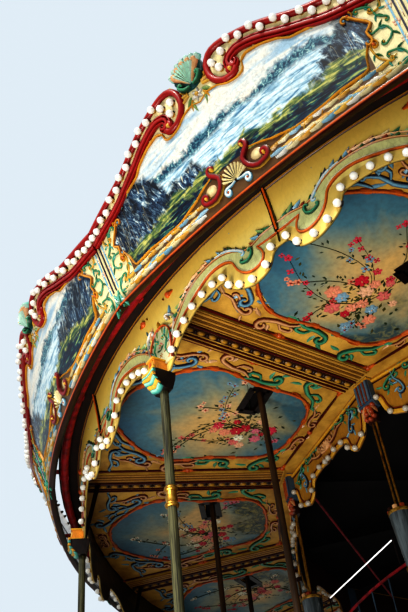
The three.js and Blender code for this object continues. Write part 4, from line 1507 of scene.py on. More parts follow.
def valance_ornament():
    """The painted edge: an orange line hooked over the lamps, a pale band, wave crests and scrolls."""
    carving = Carving()
    line = smooth(spread(VALANCE_LINE, VALANCE_WIDTH), 0.035)
    crest = smooth(spread(VALANCE_CREST, VALANCE_WIDTH), 0.05)
    plain_line = [knot for knot in VALANCE_LINE if knot[0] not in VALANCE_HOOKS]
    columns = [(share * VALANCE_WIDTH, between(plain_line, share), between(VALANCE_CREST, share) + 0.004)
               for share in np.linspace(0, 0.475, 24)]
    slab(carving, columns, 1, 0.006, tone(214, 216, 152), CREAM)
    carving.lift(0.0035)
    sweep(carving, line, LOW_ROUND, 0.016, 0.012, ORANGE_LINE)
    sweep(carving, offset(line, 0.013), RIDGE, 0.006, 0.008, (BRONZE, IVORY, BRONZE))
    sweep(carving, crest, LOW_ROUND, 0.014, 0.012, (BROWN, BRONZE, PEACH, BRONZE, BROWN))
    scroll(carving, spread(((0.090, 4.715), (0.092, 4.675), (0.108, 4.650), (0.128, 4.668)), VALANCE_WIDTH),
           0.024, 0.02, GREEN_SECTION, -0.5, 0.5, 0.018, None, 0.03)
    scroll(carving, spread(((0.215, 4.858), (0.175, 4.838), (0.140, 4.790), (0.118, 4.745)), VALANCE_WIDTH),
           0.022, 0.016, BLUE_LIGHT, 0.0, 0.7, 0.016, None, 0.03)
    scroll(carving, spread(((0.40, 4.775), (0.35, 4.835), (0.30, 4.868), (0.25, 4.874)), VALANCE_WIDTH),
           0.018, 0.014, CLAY_SECTION, 0.0, -0.6, 0.014, None, 0.04)
    # Leaves along the crest have black edges as painted shadow round them.
    for index, (spot, angle) in enumerate(along(crest, 0.066, 0.10)):
        paint = (BLACK, (SLATE, TERRACOTTA, GREEN)[index % 3])
        frond(carving, spot, angle + 0.35, 0.050, 0.026, 0.35, paint, 0.016, 1)
    for share, height, heading, paint in (
            (0.020, 4.768, 0.3, (DEEP_TEAL, GREEN)), (0.040, 4.775, 0.8, (GREEN, PALE_GREEN)),
            (0.060, 4.768, 0.2, (SLATE, SKY_BLUE)), (0.160, 4.830, 1.3, (NAVY, SLATE)),
            (0.185, 4.850, 1.0, (SLATE, SKY_BLUE)), (0.150, 4.812, 1.6, (DEEP_TEAL, GREEN)),
            (0.230, 4.872, 0.6, (NAVY, SKY_BLUE)), (0.245, 4.874, 0.1, (BROWN, PEACH)),
            (0.290, 4.868, -0.1, (BROWN, PEACH)), (0.330, 4.850, -0.3, (BRONZE, CREAM)),
            (0.355, 4.825, -0.2, (DEEP_TEAL, GREEN)), (0.385, 4.795, -0.4, (GREEN, PALE_GREEN)),
            (0.410, 4.760, -0.3, (DEEP_TEAL, GREEN)), (0.430, 4.715, -0.5, (BROWN, PEACH))):
        frond(carving, (share * VALANCE_WIDTH, height), heading * 0.45, 0.064, 0.034, 0.3, paint, 0.014, 2)
    carving.mirror()
    return carving


def valance_corner():
    """The pale panel where two scallops meet before a post, with a green flourish and a small red flower."""
    carving = Carving()
    columns = [(across, 4.470, 4.770 - 0.9 * abs(across) ** 1.5) for across in np.linspace(-0.115, 0.115, 9)]
    slab(carving, columns, 1, 0.008, tone(222, 222, 178), CREAM)
    carving.lift(0.009)
    start, first = len(carving.points), len(carving.faces)
    rim = smooth(((0.118, 4.470), (0.120, 4.600), (0.110, 4.700), (0.060, 4.765), (0.0, 4.778)), 0.05)
    sweep(carving, rim, LOW_ROUND, 0.016, 0.022, (BROWN, TERRACOTTA, ORANGE, TERRACOTTA, BROWN))
    scroll(carving, ((0.085, 4.520), (0.055, 4.580), (0.075, 4.640), (0.050, 4.690)), 0.020, 0.022,
           GREEN_SECTION, 0.8, 0.9, 0.020, (BRONZE, YELLOW))
    scroll(carving, ((0.135, 4.640), (0.160, 4.720), (0.150, 4.790), (0.100, 4.820)), 0.020, 0.016,
           BLUE_LIGHT, 0.7, 0.8, 0.018, None)
    for index in range(4):
        frond(carving, (0.030 + 0.020 * index, 4.720 - 0.030 * index), 1.4 - 0.25 * index, 0.07, 0.026, 0.25,
              ((GREEN, PALE_GREEN), (DEEP_TEAL, TURQUOISE))[index % 2], 0.024)
    frond(carving, (0.115, 4.775), 1.9, 0.08, 0.026, 0.3, (BROWN, PEACH), 0.016)
    frond(carving, (0.120, 4.800), 0.9, 0.07, 0.024, 0.3, (SLATE, SKY_BLUE), 0.016)
    carving.mirror(start, first)
    bloom(carving, (0.0, 4.640), 0.030, (RED, PINK), (BRONZE, YELLOW), height=0.026)
    bloom(carving, (0.0, 4.560), 0.022, (TERRACOTTA, PEACH), (BRONZE, YELLOW), height=0.024)
    for side in (-1, 1):
        frond(carving, (0.0, 4.600), math.pi / 2 - side * 1.1, 0.05, 0.022, 0.2, (DEEP_TEAL, GREEN), 0.022)
    frond(carving, (0.0, 4.765), math.pi / 2, 0.075, 0.036, 0.0, (BRONZE, GOLD), 0.024)
    return carving


# Posts, drawn standing at their place


def outer_post():
    """An olive tube on a turned foot, with a brass collar."""
    carving = Carving()
    spot = (0.0, -POST_CIRCLE)
    foot = DECK_TOP + SEAT
    turned(carving, ((0.062, foot), (0.062, foot + 0.012), (0.050, foot + 0.020), (0.040, foot + 0.045),
                     (0.0262, foot + 0.060), (0.0262, 3.522)), WHITE, 20, spot)
    turned(carving, ((0.0262, 3.628), (0.0262, 4.300)), WHITE, 20, spot)
    carving.current = 1
    turned(carving, ((0.030, 3.512), (0.037, 3.518), (0.040, 3.528), (0.036, 3.536), (0.029, 3.541),
                     (0.033, 3.560), (0.031, 3.585), (0.028, 3.606), (0.036, 3.611), (0.040, 3.619),
                     (0.037, 3.630), (0.029, 3.638)), GOLD, 20, spot)
    return carving


def capital_carving():
    """The turquoise and gold corbel on a post's head, with the orange block before the valance."""
    carving = Carving()
    # The corbel's body, under its turquoise and gold ribs, is black as painted shade.
    extrude(carving, ((-0.027, 4.270), (0.027, 4.270), (0.055, 4.300), (0.095, 4.345), (0.098, 4.398),
                      (-0.055, 4.398), (-0.050, 4.350)), -0.056, 0.056, BLACK)
    extrude(carving, ((-0.008, 4.399), (0.092, 4.399), (0.096, 4.412), (0.082, 4.426), (0.078, 4.470),
                      (0.090, 4.484), (0.090, 4.494), (-0.008, 4.494)), -0.036, 0.036, tone(228, 142, 48))
    for up, reach, width in ((4.405, 0.094, 0.088), (4.489, 0.090, 0.080)):
        block(carving, 0.0, reach + 0.003, up - 0.006, up + 0.006, width / 2, GOLD)
    # A thin black fin from the post's head up to the ceiling: painted shade behind the corbel.
    extrude(carving, ((-0.140, 4.905), (-0.030, 4.405), (-0.008, 4.440), (-0.100, 4.905)), -0.006, 0.006,
            BLACK)
    return carving


def capital_front():
    """Tiers of mint and gold ribs that roll down the face of the corbel, and an ornament on its block."""
    carving = Carving()
    for tier, up in enumerate((4.282, 4.303, 4.325, 4.347, 4.369, 4.391)):
        half = 0.048 + 0.004 * tier
        line = [(across, up - 0.006 * math.cos(across / half * math.pi))
                for across in np.linspace(-half, half, 7)]
        paint = (MINT_RIB, GOLD_RIB)[tier % 2]
        sweep(carving, line, LOW_ROUND, 0.023, 0.020, paint)
    start, first = len(carving.points), len(carving.faces)
    frond(carving, (0.022, 4.425), 1.35, 0.055, 0.020, 0.3, (BRONZE, YELLOW), 0.012)
    carving.mirror(start, first)
    dome(carving, (0.0, 4.448), (0.013, 0.020), 0.014, (TERRACOTTA, ORANGE), sides=10)
    return carving


def on_capital(points):
    """The face of the corbel, which leans out to its top, and of the block above it."""
    across, up, out = np.asarray(points, float).T
    heights = (4.27, 4.345, 4.40, 4.412, 4.426, 4.47, 4.49)
    face = np.interp(up, heights, (0.030, 0.095, 0.092, 0.096, 0.082, 0.078, 0.09))
    return np.stack([across, -(POST_CIRCLE + face + out), up], 1)


def upright(points):
    """Side outlines as (across, up, out from the post circle)."""
    across, up, out = np.asarray(points, float).T
    return np.stack([across, -(POST_CIRCLE + out), up], 1)


def inner_post():
    """A pair of brass tubes with a collar and a frosted lamp."""
    carving = Carving()
    foot = DECK_TOP + SEAT
    spot = (0.0, -CORNER_RADIUS)
    turned(carving, ((0.062, foot), (0.062, foot + 0.014), (0.044, foot + 0.024), (0.036, foot + 0.06),
                     (0.034, foot + 0.09)), GOLD, 16, spot)
    for side in (-1, 1):
        turned(carving, ((0.0085, foot + 0.02), (0.0085, 4.568)), GOLD, 10, (side * 0.0175, -CORNER_RADIUS))
    for up in (1.5, 2.6, 3.40):
        turned(carving, ((0.028, up - 0.018), (0.034, up - 0.012), (0.034, up - 0.004), (0.029, up),
                         (0.034, up + 0.004), (0.034, up + 0.012), (0.028, up + 0.018)), GOLD, 16, spot)
    turned(carving, ((0.030, 3.450), (0.060, 3.462), (0.062, 3.480), (0.058, 3.486)), GOLD, 20, spot)
    turned(carving, ((0.079, 3.838), (0.083, 3.846), (0.083, 3.862), (0.040, 3.880), (0.028, 3.892)), GOLD,
           20, spot)
    carving.current = 2
    for index in range(9):
        angle = index * math.tau / 9
        ball(carving, (0.068 * math.sin(angle), 0.068 * math.cos(angle) - CORNER_RADIUS, 3.876), 0.021,
             (TERRACOTTA, PEACH, BROWN)[index % 3], 6, 3)
    carving.current = 1
    turned(carving, ((0.056, 3.486), (0.062, 3.560), (0.070, 3.680), (0.078, 3.790), (0.080, 3.840)), WHITE,
           24, spot)
    return carving


def ride_poles():
    """The poles that hang through the ceiling's slots, and the rail that carries them."""
    carving = Carving()
    foot = DECK_TOP + SEAT
    for bay in range(BAYS):
        turn = -(bay + POLE_PLACE) * BAY_ANGLE
        spot = (POLE_CIRCLE * math.sin(turn), -POLE_CIRCLE * math.cos(turn))
        turned(carving, ((0.048, foot), (0.048, foot + 0.010), (0.034, foot + 0.020),
                         (POLE_RADIUS, foot + 0.045), (POLE_RADIUS, 5.010)), WHITE, 16, spot)
    ring(carving, 3.740, 3.800, 4.9909, 5.0309, BLACK, PLAIN_SIDES)
    return carving


# Ceiling

# Beam paints: painted shade at the edges and in the grooves, a painted highlight on each ridge.
BEAM_SECTION = (BROWN, tone(172, 122, 50), tone(204, 154, 68), tone(172, 122, 50), BROWN)
BEAM_GROOVE_SHADE = (tone(118, 76, 30),) * 3
FLOWERS_INNER = ((0.0, 3.270), (0.250, 3.300), (0.420, 3.440), (0.500, 3.820), (0.610, 4.160))
FLOWERS_OUTER = ((0.0, 4.760), (0.250, 4.700), (0.520, 4.430), (0.610, 4.160))
FLOWERS_EDGE = FLOWERS_INNER + FLOWERS_OUTER[-2::-1]
SPRAY_SEED = 100
SLOT_WINDOW = (0.165, 0.455, 3.705, 3.845)  # left, right, nearest and farthest from the axis


def ceiling_picture():
    """The flower picture of one bay, with a window for the pole."""
    left, right, near, far = SLOT_WINDOW
    places = sorted(set(np.linspace(-0.6, 0.6, 25).round(3)) | {left, right, -0.61, 0.61})
    columns = [(across, between(FLOWERS_INNER, abs(across)), between(FLOWERS_OUTER, abs(across)) + 0.0005)
               for across in places]
    carving = Carving()
    slab(carving, [column for column in columns if column[0] <= left], 6, 0.006, CREAM, CREAM)
    slab(carving, [column for column in columns if column[0] >= right], 6, 0.006, CREAM, CREAM)
    middle = [column for column in columns if left <= column[0] <= right]
    slab(carving, [(across, low, near) for across, low, _ in middle], 3, 0.006, CREAM, CREAM)
    slab(carving, [(across, far, high) for across, _, high in middle], 3, 0.006, CREAM, CREAM)
    carving.lift(0.004)
    return carving


def inside_picture(across, up, margin):
    """Whether a spot lies on the flower picture, that far from its edge and from the pole's window."""
    left, right, near, far = SLOT_WINDOW
    if left - margin < across < right + margin and near - margin < up < far + margin:
        return False
    low, high = between(FLOWERS_INNER, abs(across)), between(FLOWERS_OUTER, abs(across))
    return abs(across) < 0.6 - margin and low + margin < up < high - margin


def petals_of(paint, darker):
    """A flower's paint, shaded towards its middle."""
    return tuple(step * darker for step in paint), tuple(min(1.0, step * 1.15) for step in paint)


def small_flower(carving, draw, spot, paint, radius):
    if inside_picture(*spot, 0.04):
        bloom(carving, spot, radius, petals_of(paint, 0.6), petals_of(RED, 0.8), draw.choice((4, 5)),
              draw.uniform(0, 1), 0.009)


def daub(carving, spot, size, angle, paint):
    dome(carving, spot, size, 0.004, paint, sides=4, rings=1, turn=angle)


def trailing_stems(carving, draw, heart):
    """Stems that trail from the bunch, with leaves and small flowers along them."""
    for stem in range(8):
        if stem < 6:
            heading = math.pi / 2 + (stem - 3) * 0.52 + draw.uniform(-0.22, 0.22)
            reach = draw.uniform(0.36, 0.78)
        else:
            heading = draw.uniform(3.3, 6.1)
            reach = draw.uniform(0.2, 0.4)
        bend = draw.choice((-1, 1)) * draw.uniform(0.25, 0.7)
        line = smooth([heart, step_from(heart, heading, reach * 0.35, -bend * reach * 0.16),
                       step_from(heart, heading, reach * 0.7, bend * reach * 0.25),
                       step_from(heart, heading, reach, bend * reach)], 0.05)
        line = np.array([spot for spot in line if inside_picture(*spot, 0.05)])
        if len(line) < 3:
            continue
        sweep(carving, line, RIDGE, 0.006, 0.006, (tone(20, 28, 14), tone(44, 58, 28), tone(20, 28, 14)))
        paint = draw.choice(PETAL_PAINTS)
        for place, (spot, angle) in enumerate(along(line, 0.050, 0.05)):
            for _ in range(draw.choice((0, 1, 2, 3))):
                side = draw.choice((-1, 1))
                tip = step_from(spot, angle, draw.uniform(-0.02, 0.03), side * draw.uniform(0.014, 0.050))
                if inside_picture(*tip, 0.035):
                    daub(carving, tip, (draw.uniform(0.020, 0.036), draw.uniform(0.010, 0.016)),
                         angle + side * draw.uniform(0.2, 1.3), draw.choice(LEAF_PAINTS))
            if place > 2 and draw.random() < 0.34:
                beside = step_from(spot, angle, 0.0, draw.uniform(-0.06, 0.06))
                small_flower(carving, draw, beside, paint, draw.uniform(0.022, 0.040))
        tip = tuple(line[-1])
        small_flower(carving, draw, tip, paint, 0.034)
        small_flower(carving, draw, step_from(tip, draw.uniform(0, math.tau), 0.05), paint, 0.024)


def flower_spray(bay):
    """A painted bunch of garden flowers with trailing stems, laid out anew in each bay."""
    draw = random.Random(SPRAY_SEED + bay)
    carving = Carving()
    heart = (draw.uniform(-0.20, 0.04), draw.uniform(3.66, 3.9))
    trailing_stems(carving, draw, heart)
    for _ in range(96):
        spot = step_from(heart, draw.uniform(0, math.tau), abs(draw.gauss(0.0, 0.17)) + 0.04)
        if inside_picture(*spot, 0.035):
            daub(carving, spot, (draw.uniform(0.026, 0.050), draw.uniform(0.012, 0.022)),
                 draw.uniform(0, math.tau), draw.choice(LEAF_PAINTS))
    for index in range(15):
        spot = step_from(heart, index * 2.4 + draw.uniform(-0.4, 0.4), 0.066 * math.sqrt(index) + 0.005)
        if not inside_picture(*spot, 0.07):
            continue
        paint = draw.choice(PETAL_PAINTS)
        radius = draw.uniform(0.036, 0.068)
        turn = draw.uniform(0, math.tau)
        dome(carving, spot, radius * 0.95, 0.006, petals_of(paint, 0.3), sides=9, rings=1)
        bloom(carving, spot, radius, petals_of(paint, 0.62), petals_of(paint, 0.4), 6, turn, 0.011)
        bloom(carving, spot, radius * 0.6, petals_of(paint, 0.8), petals_of(PEACH, 0.4), 5, turn + 0.5, 0.018)
    carving.lift(0.0045)
    return carving


def ceiling_ornament():
    """The orange frame of the picture with leaf knobs, and blue, clay and green flourishes round it."""
    carving = Carving()
    half = smooth(FLOWERS_EDGE, 0.04)
    sweep(carving, half, LOW_ROUND, 0.028, 0.018, FRAME_SECTION)
    for spot, angle in along(half, 0.190, 0.09):
        for turn in (-0.55, 0.55):
            frond(carving, spot, angle + turn, 0.10, 0.034, -turn, (BROWN, ORANGE), 0.022, 1)
    outside = offset(half, -0.044)
    paints = (CLAY_SECTION, GREEN_SECTION, GREEN_SECTION, CLAY_SECTION, BLUE_SECTION, BLUE_SECTION,
              CLAY_SECTION)
    for index, (spot, angle) in enumerate(along(outside, 0.350, 0.06)):
        flip = index % 2
        start = step_from(spot, angle, 0.27 if flip else 0.0)
        flourish(carving, start, angle + (math.pi if flip else 0.0), 1.18 if 0 < index < 6 else 0.8,
                 paints[min(index, 6)], 1 if flip else -1, None)
    for spot, angle, size, paint, side in (((0.560, 4.690), -0.30, 1.0, BLUE_SECTION, -1),
                                           ((0.770, 4.300), 1.90, 0.95, CLAY_SECTION, 1)):
        flourish(carving, spot, angle, size, paint, side, None)
    carving.mirror()
    # A black liner over the walls of the pole's window: painted shade in the opening.
    left, right, near, far = SLOT_WINDOW
    window = [(left, near), (right, near), (right, far), (left, far)]
    for start, end in zip(window, window[1:] + window[:1]):
        sweep(carving, [start, end], FILLET, 0.064, 0.100, BLACK, lift=-0.088)
    return carving


def ceiling_edges():
    """The dark red line round a ceiling bay, with orange leaves along it, and a thin gold one."""
    carving = Carving()
    slope = math.tan(BAY_ANGLE / 2)
    lean = math.cos(BAY_ANGLE / 2)
    inner = 3.160
    corner = (inner * slope - 0.160 / lean, inner)
    outer = (4.835 * slope - 0.160 / lean, 4.835)
    dark = (BLACK, DEEP_RED, tone(96, 16, 16), DEEP_RED, BLACK)
    sweep(carving, [(0.0, inner), (0.3, inner), corner, outer], LOW_ROUND, 0.024, 0.014, dark)
    sweep(carving, [(corner[0] + 0.055, inner - 0.030), (outer[0] + 0.055, outer[1])], RIDGE, 0.010, 0.008,
          (BROWN, BRONZE, BROWN))
    edge = np.array([corner, outer])
    beam_angle = math.atan2(*(edge[1] - edge[0])[::-1])
    for share, heads in ((0.0, (beam_angle, math.pi)), (0.48, (beam_angle, beam_angle + math.pi)),
                         (1.0, (beam_angle + math.pi, math.pi))):
        spot = tuple(edge[0] + (edge[1] - edge[0]) * share)
        dome(carving, spot, 0.024, 0.026, (TERRACOTTA, ORANGE), sides=8)
        for heading in heads:
            for turn, size in ((-0.5, 0.06), (0.5, 0.06), (0.0, 0.11)):
                frond(carving, spot, heading + turn, size, 0.026, -turn, (BROWN, ORANGE), 0.018, 2)
    carving.mirror()
    dome(carving, (0.0, inner), 0.024, 0.026, (TERRACOTTA, ORANGE), sides=8)
    return carving


def beam_ornament():
    """One beam under the ceiling: grooved mustard on one side, a chain of beads on the other."""
    carving = Carving()
    inner, outer = 3.20, 4.865
    steps = np.linspace(inner, outer, 3)
    dark = (BLACK, DEEP_RED, tone(84, 14, 14), DEEP_RED, BLACK)
    for across, width, height, paint in (
            (0.128, 0.022, 0.012, BEAM_SECTION), (0.104, 0.010, 0.006, BEAM_GROOVE_SHADE),
            (0.086, 0.020, 0.010, BEAM_SECTION), (0.066, 0.010, 0.006, BEAM_GROOVE_SHADE),
            (0.048, 0.020, 0.010, BEAM_SECTION), (0.028, 0.010, 0.006, BEAM_GROOVE_SHADE),
            (0.006, 0.020, 0.014, dark), (-0.086, 0.014, 0.012, dark), (-0.118, 0.018, 0.014, dark)):
        sweep(carving, [(across, radius) for radius in steps], LOW_ROUND, width, height, paint)
    sweep(carving, [(-0.040, radius) for radius in steps], FILLET, 0.062, 0.004,
          (DEEP_RED, BROWN, BROWN, DEEP_RED))
    for index in range(18):
        radius = inner + 0.045 + index * 0.093
        dome(carving, (-0.040, radius), (0.022, 0.036), 0.018, (BROWN, GOLD), sides=8)
        # Black beads between the gold ones are painted shade in the gaps.
        dome(carving, (-0.040, radius + 0.0465), (0.022, 0.014), 0.018, (BLACK, BROWN), sides=8)
    return carving


def on_beam(points):
    across, radius, out = np.asarray(points, float).T
    return np.stack([across, -radius, CEILING_HEIGHT - 0.025 - out], 1)


# Inner valance


def inner_valance():
    """The straight scalloped sheet round the open centre."""
    carving = Carving()
    wave_sheet(carving, INNER_BULBS, CHORD_WIDTH, CEILING_HEIGHT - SEAT, 0.014, tone(186, 132, 52), BROWN)
    return carving


def inner_ornament():
    """A mustard lamp strip with an orange line, and teal, pink and gold scrolls over it."""
    carving = Carving()
    bulbs = wave_path(INNER_BULBS, CHORD_WIDTH, 0.035)
    sweep(carving, offset(bulbs, 0.006), FILLET, 0.036, 0.004, (BRONZE, GOLD, YELLOW, GOLD))
    sweep(carving, offset(bulbs, 0.031), LOW_ROUND, 0.013, 0.010, (BROWN, DEEP_RED, TERRACOTTA, DEEP_RED,
                                                                   BROWN))
    start, first = len(carving.points), len(carving.faces)
    for spot, angle, size, paint, side in (
            ((0.070, 4.775), 0.35, 0.80, CLAY_SECTION, 1), ((0.345, 4.835), 2.85, 0.62, GREEN_SECTION, -1),
            ((0.360, 4.690), 1.10, 0.72, BLUE_SECTION, -1), ((0.560, 4.800), 2.60, 0.66, GREEN_SECTION, 1)):
        flourish(carving, spot, angle, size, paint, side, (BRONZE, GOLD))
    sweep(carving, [(0.0, 4.905), (0.3, 4.905), (0.62, 4.905)], LOW_ROUND, 0.024, 0.016, GOLD_RIB)
    sweep(carving, [(0.0, 4.884), (0.3, 4.884), (0.62, 4.884)], RIDGE, 0.010, 0.010, (BLACK, DEEP_RED, BLACK))
    carving.mirror(start, first)
    fan(carving, (0.0, 4.780), 0.075, 1.3, 7, 0.018, PEACH, TERRACOTTA)
    return carving


def corner_block():
    """The slate-blue corbel over an inner post, with copper lines and a cluster of leaves below."""
    carving = Carving()
    top = CEILING_HEIGHT - SEAT
    extrude(carving, ((-0.036, 4.690), (0.014, 4.690), (0.035, 4.730), (0.035, top), (-0.036, top)), -0.074,
            0.074, SLATE)
    extrude(carving, ((-0.030, 4.570), (0.012, 4.570), (0.020, 4.640), (0.014, 4.692), (-0.030, 4.692)),
            -0.040, 0.040, BROWN)
    extrude(carving, ((-0.034, 4.911), (0.043, 4.911), (0.043, 4.929), (-0.034, 4.929)), -0.078, 0.078, GOLD)
    start = len(carving.points)
    blue = (NAVY, SLATE, tone(104, 130, 150), SLATE, NAVY)
    for across in (-0.054, -0.018, 0.018, 0.054):
        sweep(carving, [(across, 4.905), (across, 4.82), (across * 0.94, 4.735)], LOW_ROUND, 0.032, 0.016,
              blue)
    for across in (-0.036, 0.0, 0.036):
        sweep(carving, [(across, 4.905), (across, 4.82), (across * 0.94, 4.735)], RIDGE, 0.008, 0.020,
              (BROWN, ORANGE, BROWN))
    for index in range(5):
        aside = index - 2
        leaf(carving, ((0.012 * aside, 4.720), (0.026 * aside, 4.670), (0.036 * aside, 4.625)), 0.036, 0.030,
             (BROWN, ORANGE) if index % 2 else (TERRACOTTA, PEACH))
    for across, up in ((-0.050, 4.700), (0.050, 4.700), (-0.022, 4.655), (0.022, 4.655), (0.0, 4.700),
                       (-0.036, 4.610), (0.036, 4.610), (0.0, 4.600)):
        dome(carving, (across, up), 0.021, 0.036, (BROWN, tone(214, 92, 50)), sides=8)
    carving.points[start:] = [(across, up, out + (0.035 if up > 4.73 else 0.012))
                              for across, up, out in carving.points[start:]]
    return carving


def on_corner(points):
    across, up, out = np.asarray(points, float).T
    return np.stack([across, -(CORNER_RADIUS + out), up], 1)


class CAROUSEL_OT_rim(bpy.types.Operator):
    """Adds the soffit, black as painted shade, its red tube and its brackets."""
    bl_idname = "carousel.rim"
    bl_label = "Rim"

    def execute(self, context):
        plate, tube, brackets = rim_pieces()
        all_round("rim_plate", plate, ["black_paint_and_painted_shade"], node="rim")
        all_round("rim_tube", tube, ["red_tube"])
        all_round("rim_brackets", brackets, ["red_tube"])
        return {"FINISHED"}


class CAROUSEL_OT_cornice(bpy.types.Operator):
    """Adds the smooth mustard cornice with its joint strips."""
    bl_idname = "carousel.cornice"
    bl_label = "Cornice"

    def execute(self, context):
        all_round("cornice_sheet", cornice_ring(), ["smooth_enamel"], node="cornice")
        every_bay("cornice_trim", cornice_trim(), on_valance, CARVED, HALF_BAY)
        return {"FINISHED"}


class CAROUSEL_OT_outer_valance(bpy.types.Operator):
    """Adds the scalloped sheet under the cornice with its painted edge."""
    bl_idname = "carousel.outer_valance"
    bl_label = "Outer valance"

    def execute(self, context):
        every_bay("valance_sheet", outer_valance(), on_valance, ["smooth_enamel"], HALF_BAY,
                  whole="outer_valance")
        every_bay("valance_edge", valance_ornament(), on_valance, CARVED, HALF_BAY)
        every_bay("valance_corner", valance_corner(), on_valance, CARVED)
        return {"FINISHED"}


class CAROUSEL_OT_posts(bpy.types.Operator):
    """Adds the outer and inner posts, their capitals and lamps, and the ride poles."""
    bl_idname = "carousel.posts"
    bl_label = "Posts and poles"

    def execute(self, context):
        every_bay("post_shaft", outer_post(), as_drawn, ["olive_pole", "brass"],
                  node="outer_post")
        every_bay("post_corbel", capital_carving(), upright, CARVED)
        every_bay("post_leaves", capital_front(), on_capital, CARVED)
        every_bay("lamp_post", inner_post(), as_drawn, ["brass", "shaded_frosted_glass", "carved_enamel"],
                  node="inner_post")
        all_round("pole_set", ride_poles(), ["brown_pole"], node="ride_poles")
        return {"FINISHED"}


class CAROUSEL_OT_ceiling(bpy.types.Operator):
    """Adds the painted ceiling: flower pictures, frames, mouldings and beams."""
    bl_idname = "carousel.ceiling"
    bl_label = "Ceiling"

    def execute(self, context):
        repaint("ceiling", "ceiling_paint")
        every_bay("ceiling_scrolls", ceiling_ornament(), on_ceiling, CARVED, HALF_BAY)
        every_bay("ceiling_edges", ceiling_edges(), on_ceiling, CARVED, HALF_BAY)
        every_bay("beam_trim", beam_ornament(), on_beam, CARVED)
        panel = ceiling_picture()
        flat = np.array(panel.points)
        places = np.stack([flat[:, 0] / 1.4, (flat[:, 1] - FLOWERS_INNER[0][1]) / 1.5], 1)
        for bay in range(BAYS):
            painted_panel(f"ceiling_picture_{bay + 1:02d}", panel, on_ceiling, "flower_ground", places, bay)
            name = f"flower_spray_{bay + 1:02d}"
            spray = build_mesh(name, flower_spray(bay), on_ceiling, [finish_of("carved_enamel")])
            stand(spray, name, place=bay + HALF_BAY)
        return {"FINISHED"}


class CAROUSEL_OT_inner_valance(bpy.types.Operator):
    """Adds the straight scalloped boards round the open centre and their corner blocks."""
    bl_idname = "carousel.inner_valance"
    bl_label = "Inner valance"

    def execute(self, context):
        every_bay("inner_sheet", inner_valance(), on_chord, CARVED, HALF_BAY,
                  whole="inner_valance")
        every_bay("inner_scrolls", inner_ornament(), on_chord, CARVED, HALF_BAY)
        every_bay("corner_block", corner_block(), on_corner, CARVED)
        return {"FINISHED"}


# Roof

ROOF_EDGE = 5.095
ROOF_UPSTAND = 5.450
ROOF_LINE = ((5.095, 5.450), (3.600, 6.000), (2.100, 6.650), (1.000, 7.250), (0.260, 7.800))
ROOF_SHEET = 0.015
GORES = 2 * BAYS
FINIAL_FOOT = 7.800
FINIAL_HEIGHT = 0.62
ROOF_APRON = 0.14
ROOF_SAG = 0.012


def roof_gore():
    """One roof gore with its raised seam, drawn at -Y."""
    carving = Carving()
    line = smooth(ROOF_LINE, 0.22)
    half = BAY_ANGLE / 4 - 0.0006
    rows = [(ROOF_EDGE, ROOF_UPSTAND - ROOF_APRON)] + [tuple(spot) for spot in line]
    points, faces = [], []
    sides = 5
    for thickness in (0.0, ROOF_SHEET):
        for radius, height in rows:
            for step in range(sides):
                angle = -half + 2 * half * step / (sides - 1)
                sag = ROOF_SAG * math.cos(math.pi * (step / (sides - 1) - 0.5)) * min(1.0, radius / 2)
                reach = radius - (thickness if height < ROOF_UPSTAND else 0)
                points.append((reach * math.sin(angle), -reach * math.cos(angle), height - thickness + sag))
    count = len(rows) * sides
    for row in range(len(rows) - 1):
        for step in range(sides - 1):
            first = row * sides + step
            faces.append((first, first + 1, first + sides + 1, first + sides))
            faces.append((count + first, count + first + sides, count + first + sides + 1, count + first + 1))
        for step, flip in ((0, False), (sides - 1, True)):
            first = row * sides + step
            face = (first, first + sides, count + first + sides, count + first)
            faces.append(tuple(reversed(face)) if flip else face)
    for row, flip in ((0, True), (len(rows) - 1, False)):
        for step in range(sides - 1):
            first = row * sides + step
            face = (first, first + 1, count + first + 1, count + first)
            faces.append(tuple(reversed(face)) if flip else face)
    carving.add(points, faces, [WHITE] * len(points))
    return carving


def roof_seams():
    """Standing seams between the gores."""
    carving = Carving()
    line = smooth(ROOF_LINE, 0.25)
    for gore in range(GORES):
        angle = (gore + 0.5) * BAY_ANGLE / 2
        points = []
        for radius, height in line:
            for across, rise in ((-0.016, -0.010), (-0.013, 0.030), (0.013, 0.030), (0.016, -0.010)):
                points.append((radius * math.sin(angle) + across * math.cos(angle),
                               -radius * math.cos(angle) + across * math.sin(angle), height + rise))
        faces = [(3, 2, 1, 0)]
        for step in range(len(line) - 1):
            for corner in range(4):
                following = (corner + 1) % 4
                faces.append((step * 4 + corner, step * 4 + following, step * 4 + 4 + following,
                              step * 4 + 4 + corner))
        last = (len(line) - 1) * 4
        faces.append((last, last + 1, last + 2, last + 3))
        carving.add(points, [tuple(reversed(face)) for face in faces], [WHITE] * len(points))
    return carving


def roof_upstand():
    """The upright band under the roof's edge, dark as painted shade."""
    carving = Carving()
    ring(carving, 5.075, 5.090, 5.0510, 5.440, BLACK)
    return carving


def roof_band():
    """The rounded capping round the roof's edge, and the collar under the finial."""
    carving = Carving()
    hoop(carving, 5.085, 5.455, 0.026, RED, section_sides=8)
    turned(carving, ((0.275, 7.740), (0.330, 7.752), (0.335, 7.775), (0.290, 7.800), (0.262, 7.802),
                     (0.262, 7.740)), GOLD, 28, closed=True)
    return carving


